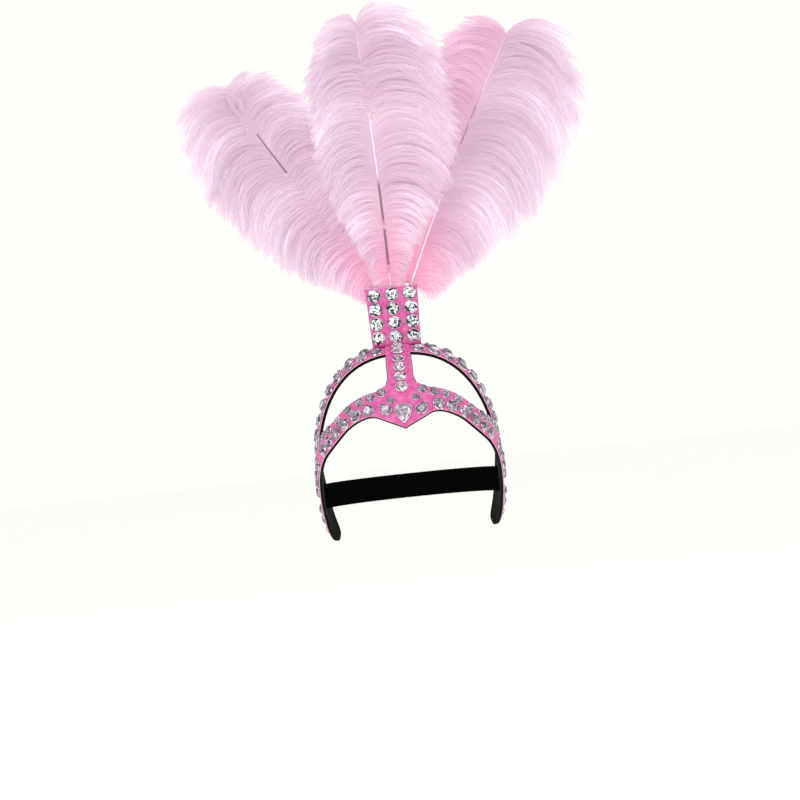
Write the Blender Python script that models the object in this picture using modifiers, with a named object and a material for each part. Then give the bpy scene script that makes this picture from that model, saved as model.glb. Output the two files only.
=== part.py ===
# Carnival headdress: two foam bands faced in pink and set with cut stones, a strap between them,
# a holder on top with three ostrich plumes, and an elastic round the back.
# Metres, +Z up, and the front looks along -Y. The origin is in the middle of the head opening,
# level with the middle of the elastic.

import math
from collections import namedtuple

import bmesh
import bpy
from mathutils import Matrix, Vector

# The rounded shape that the inside of the foam follows
HEAD_HALF_WIDTH = 0.0885
HEAD_FRONT = 0.108
HEAD_BACK = 0.085
CROWN_RISE = 0.133
HEAD_MIDDLE_Y = 0.005
SPRING_Z = 0.010
ROUNDNESS = 2.4

# Materials' thickness, and the gap between one piece and the next
FOAM = 0.0026
FACING = 0.0010
CLEARANCE = 0.0003
SEAM = 0.0005
EDGE_SETBACK = 0.0005

# Front band, measured up or down from the middle of the elastic
BAND_TOP = 0.103
BROW_HEIGHT = 0.0735
TAB_DROP = 0.0475

# Crown band: a strip of one width that leans forward and ends on the front band
CROWN_BAND_WIDTH = 0.030
CROWN_LEAN = 17.4
CROWN_END_FRONT = 57.0
CROWN_END_REAR = 66.0

# Centre strap
STRAP_WIDTH = 0.025
STRAP_FOOT_WIDTH = 0.030

# Plume holder, as the foam tube without its facing. Its height is over the top of the head shape.
HOLDER_HEIGHT = 0.058
HOLDER_TOP_WIDTH = 0.0494
HOLDER_FOOT_WIDTH = 0.0454
HOLDER_DEPTH = 0.0194
HOLDER_FRONT_Y = -0.0317
HOLDER_CORNER = 0.006
POCKET_FLOOR = 0.008

# Elastic
ELASTIC_WIDTH = 0.025
ELASTIC = 0.0012
ELASTIC_BACK_Y = 0.096
ELASTIC_START_TURN = 97.5
ELASTIC_FREE_TURN = 118.0

# Cut stones: across, and how high each rises as a share of that
STONE = 0.0125
BAND_STONE = 0.0130
SMALL_STONE = 0.0085
PANEL_STONE = 0.0125
STRAP_STONE = 0.0123
STONE_RISE = 0.27
STONE_GIRDLE = 0.25
STONE_TABLE = 0.55
STONE_SINK = 0.55
MAIN_STONE_SIDES = 10
STONE_SIDES = 8
SMALL_STONE_SIDES = 6
ROW_MARGIN = 0.0013
CROWN_PITCH = 0.0165
BAND_PITCH = 0.0175
SMALL_PITCH = 0.0126
PANEL_COLUMN = 0.0174
PANEL_TOP_DROP = 0.0075
PANEL_FOOT_RISE = 0.0082
PANEL_ROWS = 4

# Plumes
PLUME_LENGTH = 0.270
BARB_LENGTH = 0.110
QUILL = 0.0036
VANE_HALF_WIDTH = 0.0035
LOCK_DEPTH = 0.013
LOCK_STAGGER = 0.003
LOCKS_A_SIDE = 10
VANE_START = 0.05
SHAFT_STEPS = 24
# Inside the holder a quill stands nearer the middle, and most of its lean comes near the top
FOOT_SIDE = 0.55
NECK_SHARE = 0.84
NECK_SIDE = 0.90

# Front band, from the middle of the brow to the tip of a tab. Turn is in degrees from the front,
# and a share runs from the tip of the tab, 0, to the named height, 1: low to the brow height,
# high to the band's top. Where high_turn is None, high_share runs across the crown band's end.
BandRow = namedtuple("BandRow", "low_turn low_share high_turn high_share")
FRONT_BAND = (
    BandRow(0.0, 0.893, 0.0, 1.0),
    BandRow(8.0, 0.956, 8.8, 1.0),
    BandRow(16.5, 1.0, 14.0, 0.972),
    BandRow(25.0, 0.988, 27.0, 0.944),
    BandRow(36.0, 0.927, 39.0, 0.893),
    BandRow(45.0, 0.847, 51.0, 0.815),
    BandRow(53.0, 0.781, 63.0, 0.760),
    BandRow(64.0, 0.700, None, 0.0),
    BandRow(73.0, 0.605, None, 0.5),
    BandRow(82.0, 0.490, None, 1.0),
    BandRow(89.5, 0.360, 100.0, 0.515),
    BandRow(98.0, 0.215, 108.0, 0.370),
    BandRow(105.5, 0.095, 116.0, 0.200),
    BandRow(113.0, 0.015, 123.0, 0.070),
    BandRow(118.0, 0.000, 121.5, 0.012),
)
ROW_STEPS = 2
ACROSS_STEPS = 2
CROWN_STEPS = 12
STRAP_STEPS = 6
ELASTIC_STEPS = 16

# Stones over the point of the front band. Side is a share of the strap's width, height of the
# band's top, width and length of a round stone, and turn is in degrees.
CentreStone = namedtuple("CentreStone", "name side height width length turn drop")
CENTRE_STONES = (
    CentreStone("pear_stone", -0.02, 0.725, 1.38, 1.64, 180.0, 1.0),
    CentreStone("drop_stone_left", -0.69, 0.777, 0.90, 1.16, 50.0, 0.6),
    CentreStone("drop_stone_right", 0.69, 0.760, 0.90, 1.16, -50.0, 0.6),
    CentreStone("accent_stone_left", -0.46, 0.852, 0.60, 0.60, 0.0, 0.0),
    CentreStone("accent_stone_right", 0.50, 0.860, 0.60, 0.60, 0.0, 0.0),
)

# Plumes. Side is where the quill stands, as a share of the holder's half width, back the same of
# its half depth, length of the plume's and left and right of the barbs'. Lean is to the side, bend
# is added to it by the tip, recline is to the back and nod is how far the tip curls forward.
Plume = namedtuple("Plume", "name side back length lean bend recline nod left right")
PLUMES = (
    Plume("plume_left", -0.40, 0.36, 0.88, -34.0, 3.0, 8.0, 73.0, 0.91, 0.63),
    Plume("plume_centre", 0.0, -0.42, 0.98, 0.0, -4.0, -5.0, 62.0, 0.62, 0.84),
    Plume("plume_right", 0.78, 0.36, 0.96, 24.0, 4.0, 6.0, 60.0, 0.62, 1.10),
)
# Barbs along the vane: where they leave the shaft, their length as a share of the longest, the
# angle at which they leave and how much further they turn by their tips.
BarbRow = namedtuple("BarbRow", "share length leave droop")
BARBS = (
    BarbRow(0.00, 0.30, 60.0, 35.0),
    BarbRow(0.12, 0.56, 58.0, 45.0),
    BarbRow(0.30, 0.80, 54.0, 52.0),
    BarbRow(0.55, 0.95, 50.0, 60.0),
    BarbRow(0.75, 0.93, 46.0, 66.0),
    BarbRow(0.88, 0.74, 40.0, 66.0),
    BarbRow(0.96, 0.50, 28.0, 52.0),
    BarbRow(1.00, 0.24, 8.0, 20.0),
)
# A lock, from its root outwards: how far along, how much it narrows and how deep it is.
LockRow = namedtuple("LockRow", "out narrow deep")
LOCK = (
    LockRow(0.25, 0.04, 0.60),
    LockRow(0.55, 0.06, 1.00),
    LockRow(0.82, 0.12, 0.85),
    LockRow(1.00, 0.34, 0.30),
)

# Colours as linear red, green and blue
PINK = (0.87, 0.10, 0.38)
BLACK = (0.010, 0.009, 0.011)
CRYSTAL = (0.80, 0.80, 0.86)
PALE_PINK = (0.83, 0.58, 0.73)


def clear_scene():
    for old in list(bpy.data.objects):
        bpy.data.objects.remove(old, do_unlink=True)


def new_collection(name, hidden=False):
    collection = bpy.data.collections.new(name)
    collection.hide_render = hidden
    bpy.context.scene.collection.children.link(collection)
    return collection


def finish(name, colour, roughness, metallic=0.0):
    material = bpy.data.materials.new(name)
    material.use_nodes = True
    shader = material.node_tree.nodes["Principled BSDF"]
    shader.inputs["Base Color"].default_value = (*colour, 1.0)
    shader.inputs["Roughness"].default_value = roughness
    shader.inputs["Metallic"].default_value = metallic
    return material


def add_object(name, mesh, material, collection):
    obj = bpy.data.objects.new(name, mesh)
    if not mesh.materials:
        mesh.materials.append(material)
    collection.objects.link(obj)
    if collection.hide_render:
        obj.hide_render = True
        obj.display_type = "WIRE"
    return obj


def mesh_of(name, bm):
    mesh = bpy.data.meshes.new(name)
    bm.to_mesh(mesh)
    bm.free()
    return mesh


def blend(low, high, share):
    return low + (high - low) * share


def power(value, exponent):
    return math.copysign(abs(value) ** exponent, value)


# The head shape: |x/half width|^n + |y/depth|^n + |z/rise|^n = 1 over SPRING_Z, and upright below


def head_top():
    return SPRING_Z + CROWN_RISE


def holder_top():
    return head_top() + HOLDER_HEIGHT


def head_depth(y):
    return HEAD_FRONT if y < HEAD_MIDDLE_Y else HEAD_BACK


def head_terms(point):
    across = abs(point.x) / HEAD_HALF_WIDTH
    along = abs(point.y - HEAD_MIDDLE_Y) / head_depth(point.y)
    up = max(point.z - SPRING_Z, 0.0) / CROWN_RISE
    return across, along, up


def onto_head(point):
    """The point moved on to the head shape, away from its middle."""
    total = sum(term**ROUNDNESS for term in head_terms(point))
    scale = total ** (-1.0 / ROUNDNESS)
    if point.z > SPRING_Z:
        middle = Vector((0.0, HEAD_MIDDLE_Y, SPRING_Z))
        return middle + (point - middle) * scale
    flat = Vector((0.0, HEAD_MIDDLE_Y, point.z))
    total = sum(term**ROUNDNESS for term in head_terms(point)[:2])
    return flat + (point - flat) * total ** (-1.0 / ROUNDNESS)


def outward(point):
    """The head shape's unit normal at a point on it."""
    across, along, up = (term ** (ROUNDNESS - 1.0) for term in head_terms(point))
    return Vector(
        (
            math.copysign(across / HEAD_HALF_WIDTH, point.x),
            math.copysign(along / head_depth(point.y), point.y - HEAD_MIDDLE_Y),
            up / CROWN_RISE,
        )
    ).normalized()


def raised(point, height):
    return point + outward(point) * height


def round_the_head(turn, z):
    """The point on the head shape at this turn from the front, in degrees, and this height."""
    angle = math.radians(turn)
    up = max(z - SPRING_Z, 0.0) / CROWN_RISE
    level = (1.0 - up**ROUNDNESS) ** (1.0 / ROUNDNESS)
    depth = HEAD_FRONT if math.cos(angle) > 0.0 else HEAD_BACK
    x = HEAD_HALF_WIDTH * level * power(math.sin(angle), 2.0 / ROUNDNESS)
    y = HEAD_MIDDLE_Y - depth * level * power(math.cos(angle), 2.0 / ROUNDNESS)
    return Vector((x, y, z))


def front_of_head(x, z):
    """The point on the front of the head shape at this x and this height."""
    up = max(z - SPRING_Z, 0.0) / CROWN_RISE
    left_over = 1.0 - up**ROUNDNESS - (abs(x) / HEAD_HALF_WIDTH) ** ROUNDNESS
    return Vector((x, HEAD_MIDDLE_Y - HEAD_FRONT * left_over ** (1.0 / ROUNDNESS), z))


def crown_point(share, across):
    """A point of the crown band: share from the top to its end, across from front to rear edge."""
    lean = math.radians(CROWN_LEAN)
    angle = math.radians(share * blend(CROWN_END_FRONT, CROWN_END_REAR, across))
    middle = Vector((0.0, HEAD_MIDDLE_Y, SPRING_Z))
    side = math.sin(angle)
    up = math.cos(angle)
    centre_line = onto_head(middle + 0.1 * Vector((side, -math.sin(lean) * up, math.cos(lean) * up)))
    rearward = Vector((0.0, math.cos(lean), math.sin(lean)))
    return onto_head(centre_line + rearward * (across - 0.5) * CROWN_BAND_WIDTH)


def band_edges(row):
    """The low and the high edge of the front band at a row of its table."""
    low = round_the_head(row.low_turn, blend(-TAB_DROP, BROW_HEIGHT, row.low_share))
    if row.high_turn is None:
        return low, crown_point(1.0, row.high_share)
    return low, round_the_head(row.high_turn, blend(-TAB_DROP, BAND_TOP, row.high_share))


def band_point(along, inset=None, from_high=False, across=0.0):
    """A point of the front band: along in rows of its table, and a length in from an edge."""
    index = min(int(along), len(FRONT_BAND) - 2)
    low_a, high_a = band_edges(FRONT_BAND[index])
    low_b, high_b = band_edges(FRONT_BAND[index + 1])
    low = onto_head(low_a.lerp(low_b, along - index))
    high = onto_head(high_a.lerp(high_b, along - index))
    if inset is not None:
        across = inset / (high - low).length
        across = 1.0 - across if from_high else across
    return onto_head(low.lerp(high, across))


def across_shares(width, setback):
    """Evenly spaced shares across a strip, kept this far inside each edge."""
    edge = setback / width
    return [blend(edge, 1.0 - edge, step / ACROSS_STEPS) for step in range(ACROSS_STEPS + 1)]


def sheet(name, grid, thickness, material, collection, mirrored=True):
    """A strip with a wall: a grid of points, mirrored over x = 0 and thickened outwards."""
    bm = bmesh.new()
    verts = [[bm.verts.new(point) for point in line] for line in grid]
    for line, next_line in zip(verts, verts[1:]):
        for step in range(len(line) - 1):
            bm.faces.new((line[step], next_line[step], next_line[step + 1]))
            bm.faces.new((line[step], next_line[step + 1], line[step + 1]))
    obj = add_object(name, mesh_of(name, bm), material, collection)
    if mirrored:
        mirror = obj.modifiers.new("Other side", "MIRROR")
        mirror.merge_threshold = 0.00001
    wall = obj.modifiers.new("Wall", "SOLIDIFY")
    wall.thickness = thickness
    wall.offset = 1.0
    wall.use_even_offset = True
    return obj


def front_band_grid(height, setback):
    rows = (len(FRONT_BAND) - 1) * ROW_STEPS
    grid = []
    for step in range(rows + 1):
        along = step / ROW_STEPS
        low = band_point(along, across=0.0)
        high = band_point(along, across=1.0)
        shares = across_shares((high - low).length, setback)
        grid.append([raised(band_point(along, across=share), height) for share in shares])
    return grid


def crown_band_grid(height, setback):
    end = 1.0 - SEAM / CROWN_RISE
    shares = across_shares(CROWN_BAND_WIDTH, setback)
    grid = []
    for step in range(CROWN_STEPS + 1):
        share = end * step / CROWN_STEPS
        grid.append([raised(crown_point(share, across), height) for across in shares])
    return grid


def strap_half_width(share):
    flare = (STRAP_FOOT_WIDTH - STRAP_WIDTH) / 2.0
    return STRAP_WIDTH / 2.0 + flare * max(1.0 - 5.0 * share, 0.0)


def strap_point(share, across):
    """A point of the centre strap: share from its foot, 0, to the crown band's front edge, 1."""
    x = across * strap_half_width(share)
    foot = front_of_head(x, BAND_TOP + SEAM)
    front_edge = crown_point(0.0, 0.0)
    top = onto_head(Vector((x, front_edge.y - SEAM, front_edge.z)))
    if share <= 1.0:
        return onto_head(foot.lerp(top, share))
    holder_front = HOLDER_FRONT_Y - CLEARANCE - FACING - SEAM
    over = onto_head(Vector((x, holder_front, head_top())))
    return onto_head(top.lerp(over, share - 1.0))


def strap_grid(last, steps, height_at, setback):
    """Rows from the foot to the share called last. Columns run from the middle to the +X edge."""
    grid = []
    edge = 1.0 - 2.0 * setback / STRAP_WIDTH
    for column in range(ACROSS_STEPS + 1):
        across = edge * column / ACROSS_STEPS
        shares = [last * step / steps for step in range(steps + 1)]
        grid.append([raised(strap_point(share, across), height_at(share)) for share in shares])
    return grid


def over_foam(_share=0.0):
    return FOAM + CLEARANCE


def over_crown_facing(share):
    """The strap's facing climbs on to the crown band's facing over the last of the foam."""
    climb = min(max((share - 0.8) / 0.15, 0.0), 1.0)
    return over_foam() + climb * (FACING + CLEARANCE)


def bare_strap(_share):
    return 0.0


def elastic_point(turn, z):
    """Inside the tabs the elastic follows the head shape, and behind them it swings out."""
    point = round_the_head(turn, z)
    free = min(max((turn - ELASTIC_FREE_TURN) / (180.0 - ELASTIC_FREE_TURN), 0.0), 1.0)
    reach = (ELASTIC_BACK_Y - HEAD_MIDDLE_Y) / HEAD_BACK
    swing = blend(1.0, reach, free * free * (3.0 - 2.0 * free))
    return Vector((point.x, HEAD_MIDDLE_Y + (point.y - HEAD_MIDDLE_Y) * swing, z))


def elastic_grid():
    inside = -SEAM - ELASTIC
    grid = []
    for step in range(ELASTIC_STEPS + 1):
        turn = blend(180.0, ELASTIC_START_TURN, step / ELASTIC_STEPS)
        low = elastic_point(turn, -ELASTIC_WIDTH / 2.0)
        high = elastic_point(turn, ELASTIC_WIDTH / 2.0)
        grid.append([raised(high, inside), raised(low, inside)])
    return grid


# Stones


def outline(half_width, half_length, drop, sides):
    """An oval of points whose upper end narrows to a drop's tip as drop goes from 0 to 1, and
    whose widest place keeps to half_width."""
    points = []
    for side in range(sides):
        angle = 2.0 * math.pi * side / sides
        up = math.cos(angle)
        narrow = (1.0 - 0.375 * drop * (1.0 + up)) / (1.0 - 0.29 * drop)
        points.append((math.sin(angle) * half_width * narrow, up * half_length))
    return points


def stone_rings(width, length, drop, sides, sink):
    """A flat base, a girdle and a table turned half a facet, as rings of points."""
    rise = STONE_RISE * width
    base = outline(width / 2.0, length / 2.0, drop, sides)
    table = outline(width / 2.0, length / 2.0, drop, sides * 2)[1::2]
    points = [Vector((x, y, -sink)) for x, y in base]
    if not sink:
        points += [Vector((x, y, rise * STONE_GIRDLE)) for x, y in base]
    points += [Vector((x * STONE_TABLE, y * STONE_TABLE, rise)) for x, y in table]
    return points


def add_hull(bm, points):
    verts = [bm.verts.new(point) for point in points]
    made = bmesh.ops.convex_hull(bm, input=verts)
    inside = {part for part in made["geom_interior"] if isinstance(part, bmesh.types.BMVert)}
    bmesh.ops.delete(bm, geom=list(inside), context="VERTS")


def stone_mesh(name, width, length=None, drop=0.0):
    bm = bmesh.new()
    add_hull(bm, stone_rings(width, length or width, drop, MAIN_STONE_SIDES, 0.0))
    return mesh_of(name, bm)


def seat(point, normal, turn=0.0):
    """A place with its z along the normal and its y as near up as it can be, then turned."""
    side = Vector((0.0, 0.0, 1.0)).cross(normal)
    if side.length < 0.2:
        side = Vector((1.0, 0.0, 0.0))
    side.normalize()
    axes = Matrix((side, normal.cross(side), normal)).transposed().to_4x4()
    return Matrix.Translation(point) @ axes @ Matrix.Rotation(math.radians(turn), 4, "Z")


def place_stone(name, mesh, place, material, collection):
    stone = add_object(name, mesh, material, collection)
    stone.location = place.to_translation()
    stone.rotation_euler = place.to_euler()
    return stone


def spaced(path, start, end_margin, pitch):
    """Points every pitch along a path, which is a function of 0 to 1, from a start length."""
    samples = [path(step / 300.0) for step in range(301)]
    lengths = [0.0]
    for one, two in zip(samples, samples[1:]):
        lengths.append(lengths[-1] + (two - one).length)
    room = lengths[-1] - end_margin - start
    count = max(int(round(room / pitch)), 1)
    points = []
    for number in range(count + 1):
        target = start + room * number / count
        index = next(i for i, length in enumerate(lengths) if length >= target - 1e-9)
        points.append(samples[index])
    return points


def has_room(point, radius, taken):
    return all((point - other).length > radius + reach + CLEARANCE for other, reach in taken)


def stone_field(name, rows, height, taken, material, collection):
    """One hidden mesh of the stones in rows of (width, sides, points), to join to a facing.

    A stone is left out where it would meet one that is there already."""
    bm = bmesh.new()
    for width, sides, points in rows:
        for point in points:
            if not has_room(point, width / 2.0, taken):
                continue
            taken.append((point, width / 2.0))
            place = seat(raised(point, height), outward(point))
            sink = STONE_SINK * FACING
            ring = stone_rings(width, width, 0.0, sides, sink)
            add_hull(bm, [place @ corner for corner in ring])
    field = add_object(name, mesh_of(name, bm), material, collection)
    other_side = field.modifiers.new("Other side", "MIRROR")
    other_side.use_mirror_merge = False
    return field


def join(obj, field):
    boolean = obj.modifiers.new("Stones", "BOOLEAN")
    boolean.operation = "UNION"
    boolean.solver = "EXACT"
    boolean.material_mode = "TRANSFER"
    boolean.object = field


def cut(obj, cutter, name):
    boolean = obj.modifiers.new(name, "BOOLEAN")
    boolean.operation = "DIFFERENCE"
    boolean.solver = "EXACT"
    boolean.object = cutter


def facing_top():
    """How far the outside of a facing lies from the head shape."""
    return FOAM + CLEARANCE + FACING


def build_front_band(parts, guides, foam, pink, crystal):
    sheet("front_band", front_band_grid(0.0, 0.0), FOAM, foam, parts)
    facing_grid = front_band_grid(over_foam(), EDGE_SETBACK)
    facing = sheet("front_band_facing", facing_grid, FACING, pink, parts)
    last = len(FRONT_BAND) - 1.6
    taken = [
        (front_of_head(row.side * STRAP_WIDTH, row.height * BAND_TOP), row.length * STONE / 2.0)
        for row in CENTRE_STONES
    ]
    low_inset = BAND_STONE / 2.0 + ROW_MARGIN
    high_inset = SMALL_STONE / 2.0 + ROW_MARGIN
    beside_drops = max(row.side * STRAP_WIDTH + row.width * STONE / 2.0 for row in CENTRE_STONES)
    low_start = beside_drops + BAND_STONE / 2.0 + ROW_MARGIN
    high_start = STRAP_FOOT_WIDTH / 2.0 + SMALL_STONE / 2.0
    lower = spaced(lambda s: band_point(s * last, low_inset), low_start, 0.0, BAND_PITCH)
    upper = spaced(lambda s: band_point(s * last, high_inset, True), high_start, 0.0, SMALL_PITCH)
    rows = [(BAND_STONE, STONE_SIDES, lower), (SMALL_STONE, SMALL_STONE_SIDES, upper)]
    join(facing, stone_field("front_stones", rows, facing_top(), taken, crystal, guides))


def build_crown_band(parts, guides, foam, pink, crystal):
    sheet("crown_band", crown_band_grid(0.0, 0.0), FOAM, foam, parts)
    facing_grid = crown_band_grid(over_foam(), EDGE_SETBACK)
    facing = sheet("crown_band_facing", facing_grid, FACING, pink, parts)
    inset = (STONE / 2.0 + ROW_MARGIN) / CROWN_BAND_WIDTH
    first_front = (STRAP_WIDTH + STONE) / 2.0 + 2.0 * SEAM
    first_rear = HOLDER_FOOT_WIDTH / 2.0 + CLEARANCE + FACING + STONE / 2.0 + 2.0 * SEAM
    end_margin = STONE / 2.0 + ROW_MARGIN
    front = spaced(lambda s: crown_point(s, inset), first_front, end_margin, CROWN_PITCH)
    rear = spaced(lambda s: crown_point(s, 1.0 - inset), first_rear, end_margin, CROWN_PITCH)
    rows = [(STONE, STONE_SIDES, front + rear)]
    join(facing, stone_field("crown_stones", rows, facing_top(), [], crystal, guides))


def build_strap(parts, foam, pink):
    sheet("centre_strap", strap_grid(1.0, STRAP_STEPS, bare_strap, 0.0), FOAM, foam, parts)
    facing_grid = strap_grid(2.0, 2 * STRAP_STEPS, over_crown_facing, EDGE_SETBACK)
    sheet("centre_strap_facing", facing_grid, FACING, pink, parts)


def strap_stone_places():
    """Six places in a touching row, from the top of the front band to the plume holder."""
    samples = []
    for step in range(601):
        share = 2.0 - step / 200.0
        if share >= 0.0:
            base = strap_point(share, 0.0)
            height = over_crown_facing(share) + FACING + CLEARANCE
        else:
            base = front_of_head(0.0, BAND_TOP + SEAM + share * 0.020)
            height = facing_top() + CLEARANCE
        samples.append((raised(base, height), outward(base)))
    places = []
    pitch = STRAP_STONE + CLEARANCE
    wanted = STRAP_STONE / 2.0
    travelled = 0.0
    for (point, normal), (next_point, _) in zip(samples, samples[1:]):
        if travelled >= wanted and len(places) < 6:
            places.append(seat(point, normal))
            wanted += pitch
        travelled += (next_point - point).length
    return places


def build_main_stones(parts, crystal):
    mesh = stone_mesh("strap_stone", STRAP_STONE)
    for number, place in enumerate(reversed(strap_stone_places()), 1):
        place_stone(f"strap_stone_{number}", mesh, place, crystal, parts)
    for row in CENTRE_STONES:
        base = front_of_head(row.side * STRAP_WIDTH, row.height * BAND_TOP)
        place = seat(raised(base, facing_top() + CLEARANCE), outward(base), row.turn)
        mesh = stone_mesh(row.name, row.width * STONE, row.length * STONE, row.drop)
        place_stone(row.name, mesh, place, crystal, parts)
    mesh = stone_mesh("panel_stone", PANEL_STONE)
    front = HOLDER_FRONT_Y - 2.0 * CLEARANCE - FACING
    highest = holder_top() - PANEL_TOP_DROP
    lowest = head_top() + PANEL_FOOT_RISE
    for row in range(PANEL_ROWS):
        z = blend(highest, lowest, row / (PANEL_ROWS - 1))
        for column, side in (("left", -1.0), ("middle", 0.0), ("right", 1.0)):
            place = seat(Vector((side * PANEL_COLUMN, front, z)), Vector((0.0, -1.0, 0.0)))
            place_stone(f"panel_stone_{column}_{row + 1}", mesh, place, crystal, parts)


# Plume holder


def rounded_ring(half_width, half_depth, corner, z):
    """A level rounded rectangle, centred on the holder, as a ring of points."""
    centre_y = HOLDER_FRONT_Y + HOLDER_DEPTH / 2.0
    points = []
    for quarter in range(4):
        x_side = 1.0 if quarter in (0, 3) else -1.0
        y_side = 1.0 if quarter in (0, 1) else -1.0
        for step in range(4):
            angle = math.radians(90.0 * quarter + 30.0 * step)
            x = x_side * (half_width - corner) + corner * math.cos(angle)
            y = y_side * (half_depth - corner) + corner * math.sin(angle)
            points.append(Vector((x, centre_y + y, z)))
    return points


def loft(name, rings):
    """A closed solid through rings of as many points each, going up."""
    bm = bmesh.new()
    verts = [[bm.verts.new(point) for point in ring] for ring in rings]
    sides = len(rings[0])
    for low, high in zip(verts, verts[1:]):
        for side in range(sides):
            after = (side + 1) % sides
            bm.faces.new((low[side], low[after], high[after], high[side]))
    bm.faces.new(list(reversed(verts[0])))
    bm.faces.new(verts[-1])
    return mesh_of(name, bm)


def holder_tube(name, growth, low, high):
    """The holder's outline grown by this much, from one height to another."""
    rings = []
    for z in (low, high):
        share = (z - head_top()) / HOLDER_HEIGHT
        half_width = blend(HOLDER_FOOT_WIDTH, HOLDER_TOP_WIDTH, share) / 2.0 + growth
        corner = HOLDER_CORNER + growth
        rings.append(rounded_ring(half_width, HOLDER_DEPTH / 2.0 + growth, corner, z))
    return loft(name, rings)


def head_cutter(height, guides, material):
    """The upper head shape grown by this height, as one rounded solid."""
    bm = bmesh.new()
    points = []
    levels = 14
    sides = 40
    for level in range(levels):
        girth = 0.85 * (level + 1) / levels
        z = SPRING_Z + CROWN_RISE * (1.0 - girth**ROUNDNESS) ** (1.0 / ROUNDNESS)
        for side in range(sides):
            points.append(raised(round_the_head(360.0 * side / sides, z), height))
    add_hull(bm, points)
    return add_object("head_cutter", mesh_of("head_cutter", bm), material, guides)


def build_holder(parts, guides, foam, pink):
    foot = blend(SPRING_Z, head_top(), 0.85)
    over = 0.01
    head = head_cutter(facing_top() + CLEARANCE, guides, foam)
    holder = add_object(
        "plume_holder", holder_tube("plume_holder", 0.0, foot, holder_top()), foam, parts
    )
    cut(holder, head, "Seat on the crown band")
    floor = head_top() + POCKET_FLOOR
    pocket_mesh = holder_tube("pocket", -FOAM, floor, holder_top() + over)
    cut(holder, add_object("pocket", pocket_mesh, foam, guides), "Pocket")
    outer = holder_tube("plume_holder_facing", CLEARANCE + FACING, foot, holder_top())
    facing = add_object("plume_holder_facing", outer, pink, parts)
    cut(facing, head, "Seat on the crown band")
    core = holder_tube("facing_core", CLEARANCE, foot - over, holder_top() + over)
    cut(facing, add_object("facing_core", core, foam, guides), "Room for the foam")


# Plumes


def table_at(table, share):
    """A row of the barb table worked out between its rows."""
    for low, high in zip(table, table[1:]):
        if share <= high.share:
            part = (share - low.share) / (high.share - low.share)
            return BarbRow(*(blend(a, b, part) for a, b in zip(low, high)))
    return table[-1]


def shaft(plume, count):
    """Places along a plume's shaft from the holder's top. Each place is a point and three ways:
    along the shaft, to the side and forward."""
    base = Vector(
        (
            plume.side * HOLDER_TOP_WIDTH / 2.0,
            HOLDER_FRONT_Y + HOLDER_DEPTH / 2.0 * (1.0 + plume.back),
            holder_top(),
        )
    )
    places = []
    step = PLUME_LENGTH * plume.length / count
    point = base
    for number in range(count + 1):
        share = number / count
        lean = math.radians(plume.lean + plume.bend * share)
        curl = min(max((share - 0.55) / 0.45, 0.0), 1.0)
        back = math.radians(plume.recline - plume.nod * curl * curl)
        level = math.cos(back)
        way = Vector((math.sin(lean) * level, math.sin(back), math.cos(lean) * level))
        side = Vector((math.cos(lean), 0.0, -math.sin(lean)))
        places.append((point, way, side, side.cross(way).normalized()))
        point = point + way * step
    return places


def place_at(places, vane_share):
    """The place on the shaft at this share of the vane, between the two nearest places."""
    along = blend(VANE_START, 1.0, vane_share) * (len(places) - 1)
    index = min(int(along), len(places) - 2)
    ends = zip(places[index], places[index + 1])
    point, way, side, forward = (low.lerp(high, along - index) for low, high in ends)
    return point, way.normalized(), side.normalized(), forward.normalized()


def barb_point(plume, places, share, side, out):
    """A point on a barb: it leaves the shaft at an angle and turns steadily away from it."""
    point, way, sideways, _ = place_at(places, share)
    row = table_at(BARBS, share)
    reach = BARB_LENGTH * row.length * (plume.left if side < 0.0 else plume.right)
    leave = math.radians(row.leave)
    turn = math.radians(row.droop)
    along = (math.sin(leave + turn * out) - math.sin(leave)) / turn
    apart = (math.cos(leave) - math.cos(leave + turn * out)) / turn
    return point + way * along * reach + sideways * side * apart * reach


def quill_ring(place, half_width, half_depth):
    """Eight points round the shaft, whose faces at each side are the locks' roots."""
    point, _, side, forward = place
    ring = []
    for corner in range(8):
        angle = math.radians(22.5 + 45.0 * corner)
        across = side * math.cos(angle) * half_width / math.cos(math.radians(22.5))
        ring.append(point + across + forward * math.sin(angle) * half_depth)
    return ring


def bridge(bm, low, high, skip=()):
    count = len(low)
    for side in range(count):
        if side not in skip:
            after = (side + 1) % count
            bm.faces.new((low[side], low[after], high[after], high[side]))


def add_lock(bm, plume, places, rings, shares, side, swing):
    """A lock between two stations, from the vane's side face to its own narrow end."""
    low_ring, high_ring = rings
    front, back = (0, 7) if side > 0.0 else (3, 4)
    last = [low_ring[front], low_ring[back], high_ring[back], high_ring[front]]
    growth = min(0.25 + 2.2 * shares[0], 1.0)
    forward = place_at(places, shares[0])[3]
    for row in LOCK:
        pinch = row.narrow * 0.5
        shift = forward * swing * LOCK_STAGGER * row.out * growth
        depth = forward * LOCK_DEPTH * row.deep * growth
        low_end = barb_point(plume, places, blend(*shares, pinch), side, row.out) + shift
        high_end = barb_point(plume, places, blend(*shares, 1.0 - pinch), side, row.out) + shift
        corners = (low_end + depth, low_end - depth, high_end - depth, high_end + depth)
        ring = [bm.verts.new(corner) for corner in corners]
        bridge(bm, last, ring)
        last = ring
    bm.faces.new(last)


def add_tip(bm, place, ring, reach):
    """The last lock goes straight on from the end of the shaft."""
    point, way, side, forward = place
    last = ring
    for out, half_width, half_depth in ((0.35, 1.6, 0.7), (0.7, 2.6, 0.8), (1.0, 1.2, 0.3)):
        centre = (point + way * reach * out, way, side, forward)
        shape = quill_ring(centre, half_width * VANE_HALF_WIDTH, half_depth * LOCK_DEPTH)
        verts = [bm.verts.new(corner) for corner in shape]
        bridge(bm, last, verts)
        last = verts
    bm.faces.new(last)


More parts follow.
